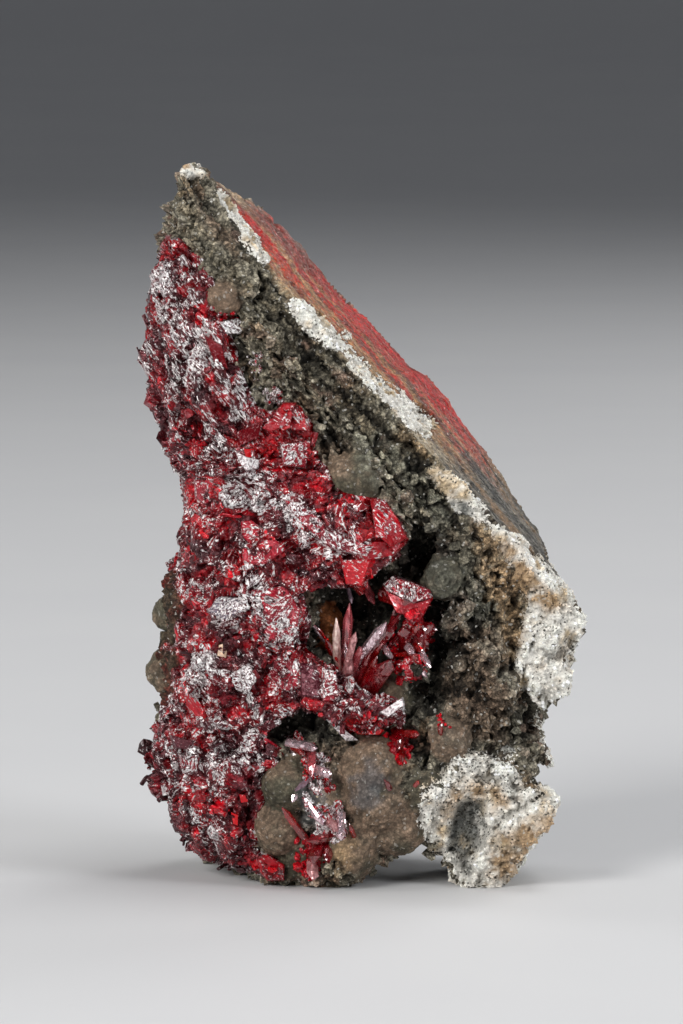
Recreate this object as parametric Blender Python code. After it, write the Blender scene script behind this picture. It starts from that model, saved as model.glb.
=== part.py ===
"""A proustite specimen: a wedge of dark vein rock with a crust and free crystals of ruby silver ore.

The specimen stands on two lobes of its lower end. X runs to the right, Y away from the viewer
and Z up. Lengths are in millimetres, and MM turns them into metres.
"""
import math

import bmesh
import bpy
from mathutils import Matrix, Vector, noise

MM = 0.001

# Driving dimensions, in millimetres
GAP = 0.3                     # clear space between neighbouring pieces
SLAB_NORMAL = Vector((0.726, -0.113, 0.678)).normalized()
SLAB_DISTANCE = 41.0          # of the flat slickenside face from the design origin
BOX_REACH = 200.0             # size of the boxes that cut flat faces

# Fineness of the fused skins, in millimetres, and their triangle counts
ROCK_VOXEL = 1.0
CRUST_VOXEL = 0.8
HOLLOW_VOXEL = 0.8
ROCK_TRIANGLES = 2600
CRUST_TRIANGLES = 1500

# Roughness of each broken surface: wave length and height in millimetres, and seed
ROCK_WAVES = (9.0, 0.9, 1)
HOLLOW_WAVES = (4.0, 0.6, 2)
CRUST_WAVES = (5.0, 0.9, 3)
WAVE_FALLOFF = 0.9
WAVE_LAYERS = 3

# Shape of a free crystal, as shares of its width or length
CRYSTAL_SIDES = 6
CRYSTAL_TWIST = 20.0          # degrees
ROOT_TAPER = 0.85             # root width against full width
CAP_BY_WIDTH = 1.1
CAP_BY_LENGTH = 0.35
LOW_SHOULDER = 0.65           # every second edge of the cap starts nearer the tip
CORNER_SPREAD = 1.15          # a hexagon's corner radius against its half width
MOST_STRETCH = 1.6            # cap on how far a sharp corner moves when a skin swells

# Broken blocks of the vein rock, each the hull of its corners
ROCK_BLOCKS = {
    "upper": [
        (-20.5, -2.5, 84.5), (-19.5, 2, 86), (-18, 9, 85), (-15.5, -4.5, 83.5), (-5.5, -6.5, 69),
        (6, -8.5, 57.5), (11.5, -9, 51), (-22, 0, 80), (-22.5, 2, 76.5), (-24.5, 4, 74.5),
        (-25.5, 5, 67.5), (-24.5, 5, 57), (-21, -3, 73.5), (-20, -6, 68.5), (-18, -8, 59),
        (-17, -9, 51), (-10, 14.5, 80), (0, 18.5, 70), (11.5, 18, 57.5), (-21, 10, 75),
        (-22.5, 14, 63.5), (-19, 17, 50), (-4.5, 20, 49.5),
    ],
    "middle": [
        (-20.5, 5, 49.5), (-20, 5, 42), (-20.5, 6, 36), (-21, 6, 18), (-17.5, -9, 49),
        (-15.5, -10, 38.5), (-17.5, -9, 29), (-18, -8, 19.5), (-4, -10.5, 45.5), (-0.5, -10, 34),
        (-4, -10.5, 22.5), (11.5, -9, 51), (16.5, -9.5, 42.5), (20, -9, 36), (11.5, 18, 57.5),
        (17.5, 12.5, 47.5), (21.5, 8, 38), (9.5, -8, 22), (18, -6, 23), (19, 7, 19.5),
        (-19, 16, 40.5), (-20, 15, 26), (-8, 17, 16.5), (10, 14, 16.5), (-4.5, 20, 49.5),
    ],
    "waist": [
        (-22.5, 4, 35), (-23, 5, 31), (-23, 5, 19), (-18, -7, 33), (-19, -6, 20), (-21, 13, 33),
        (-22, 12, 19), (-12, 10, 33), (-12, 10, 19), (-12, -6, 26),
    ],
    "shoulder": [
        (15.5, -9, 41.5), (20, -9, 36), (25.7, -6, 32.3), (26, -5, 29.5), (25.2, -6, 27.5),
        (24, -7, 23), (23.5, -6, 21.5), (21, -6, 21.5), (17.5, -8, 23), (16, -9, 29),
        (15.5, 0, 37.5), (24, 4, 33), (25.2, 3, 29), (23.3, 3, 21.5), (19.5, 5, 20), (21, 8.5, 37.5),
    ],
    "left_foot": [
        (-25, 5, 20), (-25.3, 5, 12), (-24, 4, 8), (-21, 4, 3), (-17.5, 2, 1), (-16, -9, 20),
        (-16.5, -8, 10), (-16, -5, 3.5), (-7.5, -10, 16.5), (0.5, -11, 17), (7.5, -9, 15),
        (7, -8, 6.5), (1.5, -8, 3), (-3.5, -8, -1), (-9.5, -8, -1), (-12.5, -5, 0.5),
        (-21, 14, 14), (-19, 13, 4), (-15, 12, -1), (-4, 13, -1), (-8, 16, 14), (9, 14, 14),
        (7, 12, 6), (-14, -3, 22), (7, -4, 22), (-16, 12, 22), (6, 12, 22),
    ],
    "right_foot": [
        (7.5, -9, 11.5), (10.5, -9, 15), (13, -9, 16.5), (17, -8, 15.5), (18.5, -8, 13),
        (20.5, -10, 12), (23, -11, 10.2), (20.8, -11, 6.5), (18, -10, 3), (16, -9, -1),
        (11, -9, -1), (9.5, -9, 3.5), (7.5, -8, 6), (8, 11, 13), (17.5, 10, 13), (21.5, 1, 8),
        (17, 6, -1), (11.5, 6, -1),
    ],
    "horn": [
        (17, -5, 22.5), (20.5, -4, 22), (20.5, -4, 17.5), (22.8, -4, 13.2), (19.5, -4, 15.5),
        (17, -5, 14), (17, 6, 20), (20.3, 5, 20), (20, 3, 14.5),
    ],
    "neck": [
        (6, -8, 24), (18, -7, 24), (18, -7, 14), (6, -8, 14), (6, 12, 24), (18, 10, 24),
        (18, 9, 14), (6, 12, 14),
    ],
}

# Rounded brown nodules: centre and radius
NODULES = [
    (-16.5, -7, 68.5, 2), (-17.5, -6, 72.5, 1.5), (-20.5, -3, 78.5, 1.5), (-19, -4, 75.5, 1.5),
    (-14.5, -7, 70.5, 1.5), (-13, -7, 66.5, 1.5), (-11.5, -8, 63.5, 2), (-13, -6, 60, 2),
    (-12, -6, 56, 2), (-9, -8, 60, 2), (-1.5, -9, 47.5, 3.5), (3, -9, 45.5, 2), (1, -8, 49.5, 2.5),
    (6, -9, 45, 2), (9, -8.6, 36.5, 2.6), (9.5, -8.5, 40, 1.6), (12, -8.5, 34.2, 2),
    (10.5, -7, 31, 2), (-5, -5, 31, 2), (-5.5, -5, 28, 2), (3, -7, 22.8, 2.3),
    (9.5, -9, 17.5, 2.5), (7, -8, 19, 2), (12, -8, 20.5, 2.5), (14.5, -8, 23.5, 2.5),
    (12.5, -8, 27, 2.5), (-9, -9, 12.2, 3.3), (-10, -8, 7.2, 3.2), (-5, -9, 10.5, 3),
    (1, -8, 13.8, 4.6), (1.2, -8.6, 10.5, 4.2), (5.8, -8, 12, 3.6), (-2.5, -8, 5, 4),
    (3.6, -7.6, 7, 3.4), (-7.5, -6, 4, 3.5), (-23.2, 4, 23.8, 2.7), (-22.8, 4.5, 30.5, 2.3),
]

# Dark hollows in the rock: centre and radius. The first four are the crystal pocket.
CAVITIES = [
    (-0.5, -8.5, 32.5, 5.6), (0.5, -8.5, 27.8, 4.6), (-3.6, -8.5, 29.5, 3.6), (3.6, -8, 29.5, 3.4),
    (7, -8, 38.5, 3.7), (7.5, -8, 33, 3.2), (9, -8, 28, 3), (7, -8, 22.8, 2.4), (-4.5, -9, 52.5, 1.2),
    (-14.5, -6.5, 62.5, 1.5), (-9, -9.8, 19.8, 3.2), (-5, -10.5, 19.2, 2.2), (-13.5, -6, 5, 1.5),
    (12.5, -9.3, 31, 1), (10.5, -9, 23.4, 1.1), (12, -10, 7.5, 1.6), (5.5, -9.4, 50, 1.1),
    (2.5, -10, 18.4, 1.3),
]

# Lumps of the proustite crust, each the hull of its corners
CRUST_LUMPS = {
    "top": [
        (-22.5, -2, 76), (-24, 0, 75.5), (-25, 2, 72), (-26, 4, 67.5), (-26, 4, 60.5),
        (-25.5, 4, 55), (-21, -4, 75), (-19, -6.5, 73), (-18, -8, 70.5), (-17.5, -8.5, 67),
        (-15.5, -9, 63.5), (-15, -9.5, 60), (-13, -10, 56.5), (-16.5, -11, 53.5),
        (-20.5, -9.5, 57), (-22, -7, 65), (-23.5, -4, 71.5), (-23.5, 7, 74), (-24.5, 10, 67),
        (-24.5, 11, 60), (-22.5, 11, 54), (-18.5, -2, 71.5), (-16.5, -3, 63.5), (-15, -4, 56.5),
        (-12.5, -10, 53.5),
    ],
    "neck": [
        (-24.3, 4, 55), (-22.3, 4, 50), (-20.3, 3, 46.5), (-20.3, 3, 42), (-22, 4, 37),
        (-16.5, -11, 53.5), (-12, -12.5, 49), (-5.5, -11.5, 48.5), (-2.5, -12, 45.5),
        (-9, -14, 41.5), (-15.5, -13, 39), (-19.5, -9, 47.5), (-20, -8, 40.5), (-21.5, 11, 53),
        (-20, 10, 46), (-20, 10, 40), (-20.5, 11, 36), (-7.5, -5, 51), (-4, -6, 43),
        (-13.5, -4, 38),
    ],
    "flap": [
        (-15, -10, 53.5), (-12, -11, 56), (-8.5, -11, 57), (-6.5, -10, 55), (-6, -11, 50),
        (-4.5, -11, 48), (-12, -13, 48), (-14.5, -12.5, 50.5), (-13.5, -5, 52), (-7.5, -5, 54.5),
        (-6.5, -5, 48.5), (-13.5, -5, 48),
    ],
    "tongue": [
        (-7.5, -11, 48), (-3, -12, 46), (-0.5, -12.5, 44.5), (0.5, -12, 46), (2, -12, 45.5),
        (5, -12, 41.5), (3.5, -13, 39.5), (0, -13, 36), (-3, -13, 35.5), (-7.5, -13, 35),
        (-9.5, -14.5, 43.5), (-3.5, -15.5, 42.5), (-2, -7, 43.5), (3, -8, 40), (-2.5, -7, 35.5),
        (-7.5, -5, 38),
    ],
    "waist": [
        (-23.5, 5, 36), (-24, 3, 33), (-23.4, 1, 30), (-23.2, 0, 24), (-24.3, 2, 18),
        (-20, -9, 40.5), (-15, -13, 41), (-9, -13.5, 40), (-7.5, -13, 35.5), (-7, -12.5, 29.5),
        (-7.5, -12.5, 22.5),
        (-11.5, -12, 22), (-11.5, -11, 18.5), (-17.5, -11, 22.5), (-21, -7, 29), (-22.5, -5, 21.5),
        (-21.5, 11, 36), (-23, 8, 34), (-23.5, 9, 18.5), (-9, -5, 33.5), (-9, -6, 23),
        (-14.5, -4, 18),
    ],
    "bridge": [
        (-13, -12, 27), (-7.5, -13, 28.5), (-3.5, -13.5, 26), (-0.5, -13.5, 21.5), (2, -12.5, 21),
        (4.5, -11.5, 22.5), (4.5, -11, 19.5), (-0.5, -13, 18), (-4, -13, 19.5), (-7.5, -12.5, 22),
        (-12, -12, 22.5), (-7.5, -7, 25.5), (-2, -8, 20), (3.5, -8, 20.5),
    ],
    "low": [
        (-25.5, 4, 18), (-26, 4, 12.5), (-25, 3, 9.5), (-24, 2, 8), (-22, 0, 7.5), (-22, 0, 5),
        (-20, -1, 2.5), (-17.5, -3, 2.5), (-15.5, -4, 1), (-14.5, -5, 0.5), (-17.5, -11, 22.5),
        (-11.5, -11, 18.5), (-9.5, -10.5, 16.5), (-12, -10.5, 15), (-13.5, -10, 11.5),
        (-13, -9.5, 8.5), (-14, -8.5, 4.5), (-17.5, -9, 8), (-20.5, -7, 12.5), (-22.5, -5, 17),
        (-24, 11, 14.5), (-23.5, 10, 8.5), (-20.5, 7, 3.5), (-16.5, 3, 1.5), (-13.5, -4, 16.5),
        (-15, -3, 7),
    ],
    "toe": [
        (-13, -8, 4.5), (-9.5, -10.5, 3), (-9.5, -10.5, 1), (-12, -9.5, 0.5), (-15, -7, 2),
        (-15, -6, 4), (-11, -5, 3.2), (-11, -5, 0.8), (-14.5, -4, 1.5),
    ],
}

# Free crystals of each cluster: root, tip and width
CLUSTERS = {
    "pocket_spray": [
        ((-3.0, -7.2, 22.7), (-0.5, -9.0, 26.6), 2.6),
        ((-3.4, -9.0, 25.5), (-3.5, -11.0, 32.2), 0.9),
        ((-2.5, -8.0, 25.5), (-1.9, -10.0, 33.8), 1.4),
        ((-2.5, -9.0, 25.0), (-1.2, -12.5, 30.6), 1.3),
        ((-1.8, -8.6, 25.6), (2.4, -11.0, 31.6), 1.3),
        ((-1.2, -8.0, 25.5), (3.3, -10.0, 31.3), 1.8),
        ((-3.0, -8.4, 25.5), (-4.8, -10.0, 29.5), 0.9),
        ((-2.4, -7.6, 26.0), (-7.0, -10.0, 32.0), 0.8),
        ((-2.2, -8.8, 23.5), (-1.9, -10.5, 28.1), 1.7),
        ((-0.6, -8.6, 22.1), (2.8, -12.0, 27.3), 2.1),
        ((0.4, -8.0, 22.0), (1.5, -10.5, 26.0), 1.3),
    ],
    "pocket_block": [
        ((4.6, -2.2, 34.4), (4.8, -9.6, 34.0), 2.6),
        ((2.1, -8.2, 34.6), (6.0, -11.0, 33.5), 2.8),
        ((3.6, -8.0, 34.0), (7.6, -10.5, 33.3), 2.1),
    ],
    "pocket_fan": [
        ((5.0, -2.6, 27.6), (5.2, -9.2, 28.0), 2.4),
        ((4.4, -8.4, 27.2), (6.0, -11.5, 27.3), 1.1),
        ((4.6, -8.0, 28.4), (5.5, -11.0, 27.7), 1.1),
        ((5.8, -8.4, 28.2), (7.5, -11.0, 26.1), 0.7),
        ((5.5, -8.4, 27.2), (7.0, -10.5, 24.9), 0.7),
        ((5.4, -7.6, 28.4), (7.8, -10.5, 31.2), 1.8),
        ((4.6, -7.6, 27.8), (4.3, -10.5, 30.7), 1.6),
        ((4.6, -7.5, 27.6), (6.9, -9.4, 28.4), 1.5),
    ],
    "drop_cluster": [
        ((4.6, -6.0, 17.6), (4.3, -10.8, 17.4), 1.7),
        ((3.2, -9.2, 18.2), (6.2, -11.6, 18.4), 1.1),
        ((3.6, -9.0, 18.6), (3.8, -12.0, 16.6), 1.5),
        ((3.8, -9.4, 17.4), (4.1, -12.0, 15.1), 1.4),
    ],
    "nodule_cluster_upper": [
        ((-9.1, -10.6, 17.4), (-5.6, -12.6, 17.0), 1.5),
        ((-8.5, -10.6, 16.8), (-7.0, -12.6, 16.2), 0.9),
        ((-6.4, -10.0, 17.0), (-6.3, -13.0, 13.6), 1.7),
        ((-6.6, -10.8, 14.6), (-4.0, -13.5, 14.1), 1.5),
        ((-6.3, -10.2, 13.6), (-8.4, -13.0, 11.9), 1.9),
        ((-7.8, -11.0, 12.3), (-8.6, -12.6, 10.6), 0.9),
    ],
    "nodule_cluster_lower": [
        ((-7.3, -11.0, 11.0), (-4.9, -12.9, 7.9), 0.9),
        ((-6.2, -11.0, 10.8), (-4.9, -12.4, 8.0), 0.8),
        ((-4.6, -11.0, 8.4), (-3.3, -14.5, 7.8), 2.3),
        ((-2.9, -11.0, 9.1), (-3.0, -14.0, 6.3), 1.6),
        ((-3.6, -11.0, 6.6), (-7.0, -13.0, 6.2), 1.5),
        ((-5.4, -10.2, 6.0), (-6.2, -13.0, 3.3), 2.3),
        ((-4.6, -10.8, 5.8), (-4.3, -13.0, 3.5), 1.2),
        ((-6.2, -9.6, 3.6), (-6.2, -11.6, 1.3), 1.4),
    ],
    "prism_left": [((-6.9, -10.3, 5.9), (-9.9, -12.2, 10.2), 0.9)],
    "prism_middle": [((3.4, -10.8, 10.8), (2.0, -13.2, 13.5), 0.8)],
    "chip_right": [((5.4, -10.4, 11.3), (6.0, -12.2, 13.3), 0.9)],
    "prism_small": [((-1.4, -11.4, 6.6), (-2.0, -13.2, 8.3), 0.8)],
    "speck_right": [((8.7, -10.6, 18.2), (8.5, -12.0, 19.6), 0.8)],
}

# Looks of the plain pieces: colour, roughness and metallic value
ROCK_LOOK = ((0.155, 0.135, 0.105, 1.0), 0.85, 0.0)
CRUST_LOOK = ((0.28, 0.02, 0.03, 1.0), 0.28, 0.0)
CRYSTAL_LOOK = ((0.42, 0.02, 0.03, 1.0), 0.12, 0.0)


def clear_scene():
    """Remove what the scene holds."""
    for obj in list(bpy.data.objects):
        bpy.data.objects.remove(obj, do_unlink=True)


def material(name, look):
    """A plain Principled material."""
    colour, roughness, metallic = look
    made = bpy.data.materials.new(name)
    made.use_nodes = True
    shader = made.node_tree.nodes["Principled BSDF"]
    shader.inputs["Base Color"].default_value = colour
    shader.inputs["Roughness"].default_value = roughness
    shader.inputs["Metallic"].default_value = metallic
    made.diffuse_color = colour
    return made


def object_from(bm, name):
    """Put a bmesh into a new object of the scene."""
    mesh = bpy.data.meshes.new(name)
    bm.normal_update()
    bm.to_mesh(mesh)
    bm.free()
    obj = bpy.data.objects.new(name, mesh)
    bpy.context.scene.collection.objects.link(obj)
    return obj


def add_hull(bm, corners):
    """Add the convex hull of a list of corners, in millimetres."""
    block = bmesh.new()
    for corner in corners:
        block.verts.new(Vector(corner) * MM)
    bmesh.ops.convex_hull(block, input=block.verts)
    loose = [vert for vert in block.verts if not vert.link_faces]
    bmesh.ops.delete(block, geom=loose, context="VERTS")
    bmesh.ops.recalc_face_normals(block, faces=block.faces)
    mesh = bpy.data.meshes.new("hull")
    block.to_mesh(mesh)
    block.free()
    bm.from_mesh(mesh)
    bpy.data.meshes.remove(mesh)


def add_ball(bm, ball, subdivisions=2):
    """Add a round lump given by its centre and radius, in millimetres."""
    centre = Vector(ball[:3]) * MM
    bmesh.ops.create_icosphere(
        bm, subdivisions=subdivisions, radius=ball[3] * MM, matrix=Matrix.Translation(centre)
    )


def baked(obj):
    """Replace an object's mesh by its evaluated mesh, with its modifiers used up."""
    graph = bpy.context.evaluated_depsgraph_get()
    mesh = bpy.data.meshes.new_from_object(obj.evaluated_get(graph))
    obj.modifiers.clear()
    old = obj.data
    obj.data = mesh
    bpy.data.meshes.remove(old)
    return obj


def fused(obj, voxel):
    """Fuse overlapping lumps into one skin."""
    modifier = obj.modifiers.new("fuse", "REMESH")
    modifier.mode = "VOXEL"
    modifier.voxel_size = voxel * MM
    modifier.adaptivity = 0.0
    return baked(obj)


def cut_with(obj, cutter, operation="DIFFERENCE"):
    """Apply one Boolean, and remove the cutter."""
    modifier = obj.modifiers.new(operation.lower(), "BOOLEAN")
    modifier.operation = operation
    modifier.solver = "EXACT"
    modifier.use_self = True
    modifier.object = cutter
    baked(obj)
    bpy.data.objects.remove(cutter, do_unlink=True)
    return obj


def roughen(obj, waves):
    """Move each point along its normal by fractal noise."""
    scale, height, seed = waves
    mesh = obj.data
    offset = Vector((seed * 13.7, seed * 5.3, seed * 9.1))
    moved = []
    for vert in mesh.vertices:
        place = vert.co / (scale * MM) + offset
        wave = noise.fractal(place, WAVE_FALLOFF, 2.0, WAVE_LAYERS)
        moved.append(vert.co + vert.normal * (wave * height * MM))
    for vert, place in zip(mesh.vertices, moved):
        vert.co = place
    mesh.update()
    return obj


def thinned(obj, triangles):
    """Collapse edges down to about the given number of triangles."""
    bm = bmesh.new()
    bm.from_mesh(obj.data)
    bmesh.ops.triangulate(bm, faces=bm.faces)
    bm.to_mesh(obj.data)
    count = len(bm.faces)
    bm.free()
    modifier = obj.modifiers.new("thin", "DECIMATE")
    modifier.ratio = min(1.0, triangles / count)
    return baked(obj)


def swollen(obj, name, distance):
    """A copy whose skin lies a distance outside the original."""
    bm = bmesh.new()
    bm.from_mesh(obj.data)
    bm.normal_update()
    reach = [min(vert.calc_shell_factor(), MOST_STRETCH) * distance * MM for vert in bm.verts]
    steps = [vert.normal * length for vert, length in zip(bm.verts, reach)]
    for vert, step in zip(bm.verts, steps):
        vert.co += step
    return object_from(bm, name)


def box(name, matrix):
    """A large box whose lower face lies at the matrix's origin and faces its -Z."""
    bm = bmesh.new()
    reach = BOX_REACH * MM
    raised = Matrix.Translation((0.0, 0.0, reach / 2))
    bmesh.ops.create_cube(bm, size=reach, matrix=matrix @ raised)
    return object_from(bm, name)


def slab_box():
    """What lies outside the slickenside face."""
    turn = SLAB_NORMAL.to_track_quat("Z", "Y").to_matrix().to_4x4()
    return box("slab_box", Matrix.Translation(SLAB_NORMAL * SLAB_DISTANCE * MM) @ turn)


def floor_box():
    """What lies below the floor."""
    return box("floor_box", Matrix.Rotation(math.pi, 4, "X"))


def keep_largest(obj):
    """Delete all but the largest connected body."""
    bm = bmesh.new()
    bm.from_mesh(obj.data)
    bmesh.ops.triangulate(bm, faces=bm.faces)
    left = set(bm.faces)
    bodies = []
    while left:
        stack = [left.pop()]
        body = set(stack)
        while stack:
            for edge in stack.pop().edges:
                for face in edge.link_faces:
                    if face in left:
                        left.remove(face)
                        body.add(face)
                        stack.append(face)
        bodies.append(body)
    bodies.sort(key=lambda faces: sum(face.calc_area() for face in faces))
    small = [face for body in bodies[:-1] for face in body]
    bmesh.ops.delete(bm, geom=small, context="FACES")
    bmesh.ops.recalc_face_normals(bm, faces=bm.faces)
    bm.to_mesh(obj.data)
    bm.free()
    return obj


def make_rock():
    """The vein rock, before its neighbours are cut from it."""
    bm = bmesh.new()
    for corners in ROCK_BLOCKS.values():
        add_hull(bm, corners)
    for ball in NODULES:
        add_ball(bm, ball)
    rock = fused(object_from(bm, "rock"), ROCK_VOXEL)
    roughen(rock, ROCK_WAVES)
    hollows = bmesh.new()
    for ball in CAVITIES:
        add_ball(hollows, ball)
    cutter = roughen(fused(object_from(hollows, "hollows"), HOLLOW_VOXEL), HOLLOW_WAVES)
    fused(cut_with(rock, cutter), ROCK_VOXEL)
    thinned(rock, ROCK_TRIANGLES)
    cut_with(rock, slab_box())
    return cut_with(rock, floor_box())


def make_crust():
    """The proustite crust over the rock's left third."""
    bm = bmesh.new()
    for corners in CRUST_LUMPS.values():
        add_hull(bm, corners)
    crust = fused(object_from(bm, "crust"), CRUST_VOXEL)
    roughen(crust, CRUST_WAVES)
    return thinned(crust, CRUST_TRIANGLES)


def crystal_points(root, tip, width):
    """Corners of a six-sided prism with a three-sided point, in millimetres."""
    root = Vector(root)
    tip = Vector(tip)
    along = (tip - root).normalized()
    length = (tip - root).length
    turn = along.to_track_quat("Z", "Y")
    radius = width / 2
    cap = min(CAP_BY_LENGTH * length, CAP_BY_WIDTH * width)
    points = [tip]
    for side in range(CRYSTAL_SIDES):
        angle = math.tau * side / CRYSTAL_SIDES + math.radians(CRYSTAL_TWIST)
        out = turn @ Vector((math.cos(angle), math.sin(angle), 0.0)) * radius
        shoulder = cap * (LOW_SHOULDER if side % 2 else 1.0)
        points.append(root + out * ROOT_TAPER)
        points.append(tip - along * shoulder + out)
    return points


def make_cluster(name, crystals, grow=0.0):
    """Union of the crystals of one cluster, optionally grown by a clearance on all sides."""
    cluster = None
    for root, tip, width in crystals:
        along = (Vector(tip) - Vector(root)).normalized() * grow
        full_width = width + 2 * CORNER_SPREAD * grow
        bm = bmesh.new()
        add_hull(bm, crystal_points(Vector(root) - along, Vector(tip) + along, full_width))
        crystal = object_from(bm, name)
        cluster = cut_with(cluster, crystal, "UNION") if cluster else crystal
    return cluster


def stand_at_centre(pieces):
    """Move all pieces so that the middle of the specimen's foot is the origin."""
    corners = [vert.co for piece in pieces for vert in piece.data.vertices]
    middle_x = (min(c.x for c in corners) + max(c.x for c in corners)) / 2
    middle_y = (min(c.y for c in corners) + max(c.y for c in corners)) / 2
    shift = Matrix.Translation((-middle_x, -middle_y, 0.0))
    for piece in pieces:
        piece.data.transform(shift)


def build():
    """Make every piece of the specimen."""
    clear_scene()
    rock = make_rock()
    crust = make_crust()
    cut_with(crust, floor_box())
    crystals = []
    for name, parts in CLUSTERS.items():
        cut_with(rock, make_cluster(name + "_room", parts, GAP))
        cut_with(crust, make_cluster(name + "_room", parts, GAP))
        crystals.append(keep_largest(make_cluster(name, parts)))
    keep_largest(crust)
    cut_with(rock, swollen(crust, "crust_room", GAP))
    keep_largest(rock)
    rock.data.materials.append(material("vein_rock", ROCK_LOOK))
    crust.data.materials.append(material("proustite_crust", CRUST_LOOK))
    for crystal in crystals:
        crystal.data.materials.append(material(crystal.name + "_crystal", CRYSTAL_LOOK))
    stand_at_centre([rock, crust] + crystals)


build()
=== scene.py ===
"""Looks of the proustite specimen: vein rock, ruby crust and free crystals, round its frame.

Lengths in the lists are millimetres. Places marked as photo places are across and down in the
picture's own 683 by 1024 units, and are laid on the surface that lies behind them.
"""
import math

import bmesh
import bpy
import numpy as np
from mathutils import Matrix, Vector
from mathutils.bvhtree import BVHTree


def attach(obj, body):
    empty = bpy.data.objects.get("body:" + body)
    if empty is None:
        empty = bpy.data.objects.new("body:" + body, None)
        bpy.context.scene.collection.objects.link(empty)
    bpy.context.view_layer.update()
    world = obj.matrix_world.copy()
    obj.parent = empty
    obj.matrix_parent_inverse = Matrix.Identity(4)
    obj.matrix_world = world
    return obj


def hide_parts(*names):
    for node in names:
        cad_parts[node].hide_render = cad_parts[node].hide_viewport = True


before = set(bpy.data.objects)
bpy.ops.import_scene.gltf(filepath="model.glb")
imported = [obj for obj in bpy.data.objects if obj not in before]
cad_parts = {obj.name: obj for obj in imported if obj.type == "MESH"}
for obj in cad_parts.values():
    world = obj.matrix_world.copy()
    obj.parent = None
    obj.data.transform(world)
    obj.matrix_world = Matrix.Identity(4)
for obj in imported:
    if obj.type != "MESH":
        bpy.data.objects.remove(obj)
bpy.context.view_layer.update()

MM = 0.001
SHIFT = np.array((0.388, -2.2, 0.0))
PHOTO_TARGET = np.array((-2.482, -2.2, 43.06))
PHOTO_DISTANCE = 700.0
PHOTO_TILT = math.radians(6)
PHOTO_UNIT = 0.117
PHOTO_MIDDLE = (341.5, 512.0)
SENSOR = 36.0
PICTURE_HEIGHT = 1024

# Directions in the photo, and straight back in the frame
AHEAD = np.array((0.0, math.cos(PHOTO_TILT), -math.sin(PHOTO_TILT)))
UP = np.array((0.0, math.sin(PHOTO_TILT), math.cos(PHOTO_TILT)))
RIGHT = np.array((1.0, 0.0, 0.0))
BACK = np.array((0.0, 1.0, 0.0))

# The slickensided plane on the right: its normal, its distance, the way its grooves run
SLAB_NORMAL = np.array((0.726, -0.113, 0.678))
SLAB_DISTANCE = 41.0
SLAB_DOWN = np.array((0.64, -0.34, -0.728))

# How even meshes, noise and reliefs are laid out, in mm, and the seeds of some
ROCK_VOXEL = 0.39
CRUST_VOXEL = 0.29
ROCK_GAP = 0.6
TRIM_REACH = 60.0
PLATES = (2.6, 33)
SMALL_FACES = (1.7, 93)
WIDE_FACES = (3.6, 91)
CRUMB = 0.075
SHELL_RING = 0.85
ROCK_WARP = 0.9
COARSE_GRAIN = 0.62
SMALL_GRAIN = 0.27

# Numbers of the looks: the rock's roughness, the most silvery the crust gets, mid grey
MATT = 0.88
MOST_SILVER = 1.2
HALF = (0.5, 0.5, 0.5)

# Numbers that scramble whole numbers into random ones, and a distance beyond any cell
HASH_PRIMES = (73856093, 19349663, 83492791)
HASH_SEED = 2654435761
HASH_FACTORS = (2246822519, 3266489917, 668265263)
FAR = 9.0

# The way the crust's upper part is combed
COMB = np.array((0.62, 0.0, -0.78))

# Rounded nodules of the rock: centre and radius
NODULES = np.array([
    (-16.5, -7, 68.5, 2), (-17.5, -6, 72.5, 1.5), (-20.5, -3, 78.5, 1.5), (-19, -4, 75.5, 1.5),
    (-14.5, -7, 70.5, 1.5), (-13, -7, 66.5, 1.5), (-11.5, -8, 63.5, 2), (-13, -6, 60, 2),
    (-12, -6, 56, 2), (-9, -8, 60, 2), (-1.5, -9, 47.5, 3.5), (3, -9, 45.5, 2), (1, -8, 49.5, 2.5),
    (6, -9, 45, 2), (9, -8.6, 36.5, 2.6), (9.5, -8.5, 40, 1.6), (12, -8.5, 34.2, 2),
    (10.5, -7, 31, 2), (-5, -5, 31, 2), (-5.5, -5, 28, 2), (3, -7, 22.8, 2.3),
    (9.5, -9, 17.5, 2.5), (7, -8, 19, 2), (12, -8, 20.5, 2.5), (14.5, -8, 23.5, 2.5),
    (12.5, -8, 27, 2.5), (-9, -9, 12.2, 3.3), (-10, -8, 7.2, 3.2), (-5, -9, 10.5, 3),
    (1, -8, 13.8, 4.6), (1.2, -8.6, 10.5, 4.2), (5.8, -8, 12, 3.6), (-2.5, -8, 5, 4),
    (3.6, -7.6, 7, 3.4), (-7.5, -6, 4, 3.5), (-23.2, 4, 23.8, 2.7), (-22.8, 4.5, 30.5, 2.3),
    (-20.3, 0.8, 82.3, 1.05), (-19.5, 3.6, 82.0, 1.0),
])

# The nodules that keep a bare, rounded skin, by their place in the list
BARE_NODULES = (0, 10, 14, 18, 19, 20, 21, 26, 27, 28, 29, 30, 31, 32, 33, 34, 35, 36)

# The amber-brown nodules in the pocket, and the ringed one, by their place in the list
AMBER_NODULES = (18, 19)
SHELL_NODULE = 14

# Parts of the solids outside the picture's outline, as photo places, cut off along the line of
# sight
TRIMS = [
    [(90, 418), (157, 420), (166, 452), (182, 476), (186, 500), (184, 524), (174, 546), (164, 572),
     (90, 575)],
    [(640, 585), (576, 592), (583, 612), (581, 630), (574, 644), (567, 662), (566, 688),
     (557, 700), (538, 703), (536, 713), (540, 730), (546, 752), (552, 764), (534, 759),
     (528, 768), (525, 781), (545, 790), (561, 808), (560, 820), (546, 845), (521, 866),
     (506, 882), (640, 890)],
]

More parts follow.
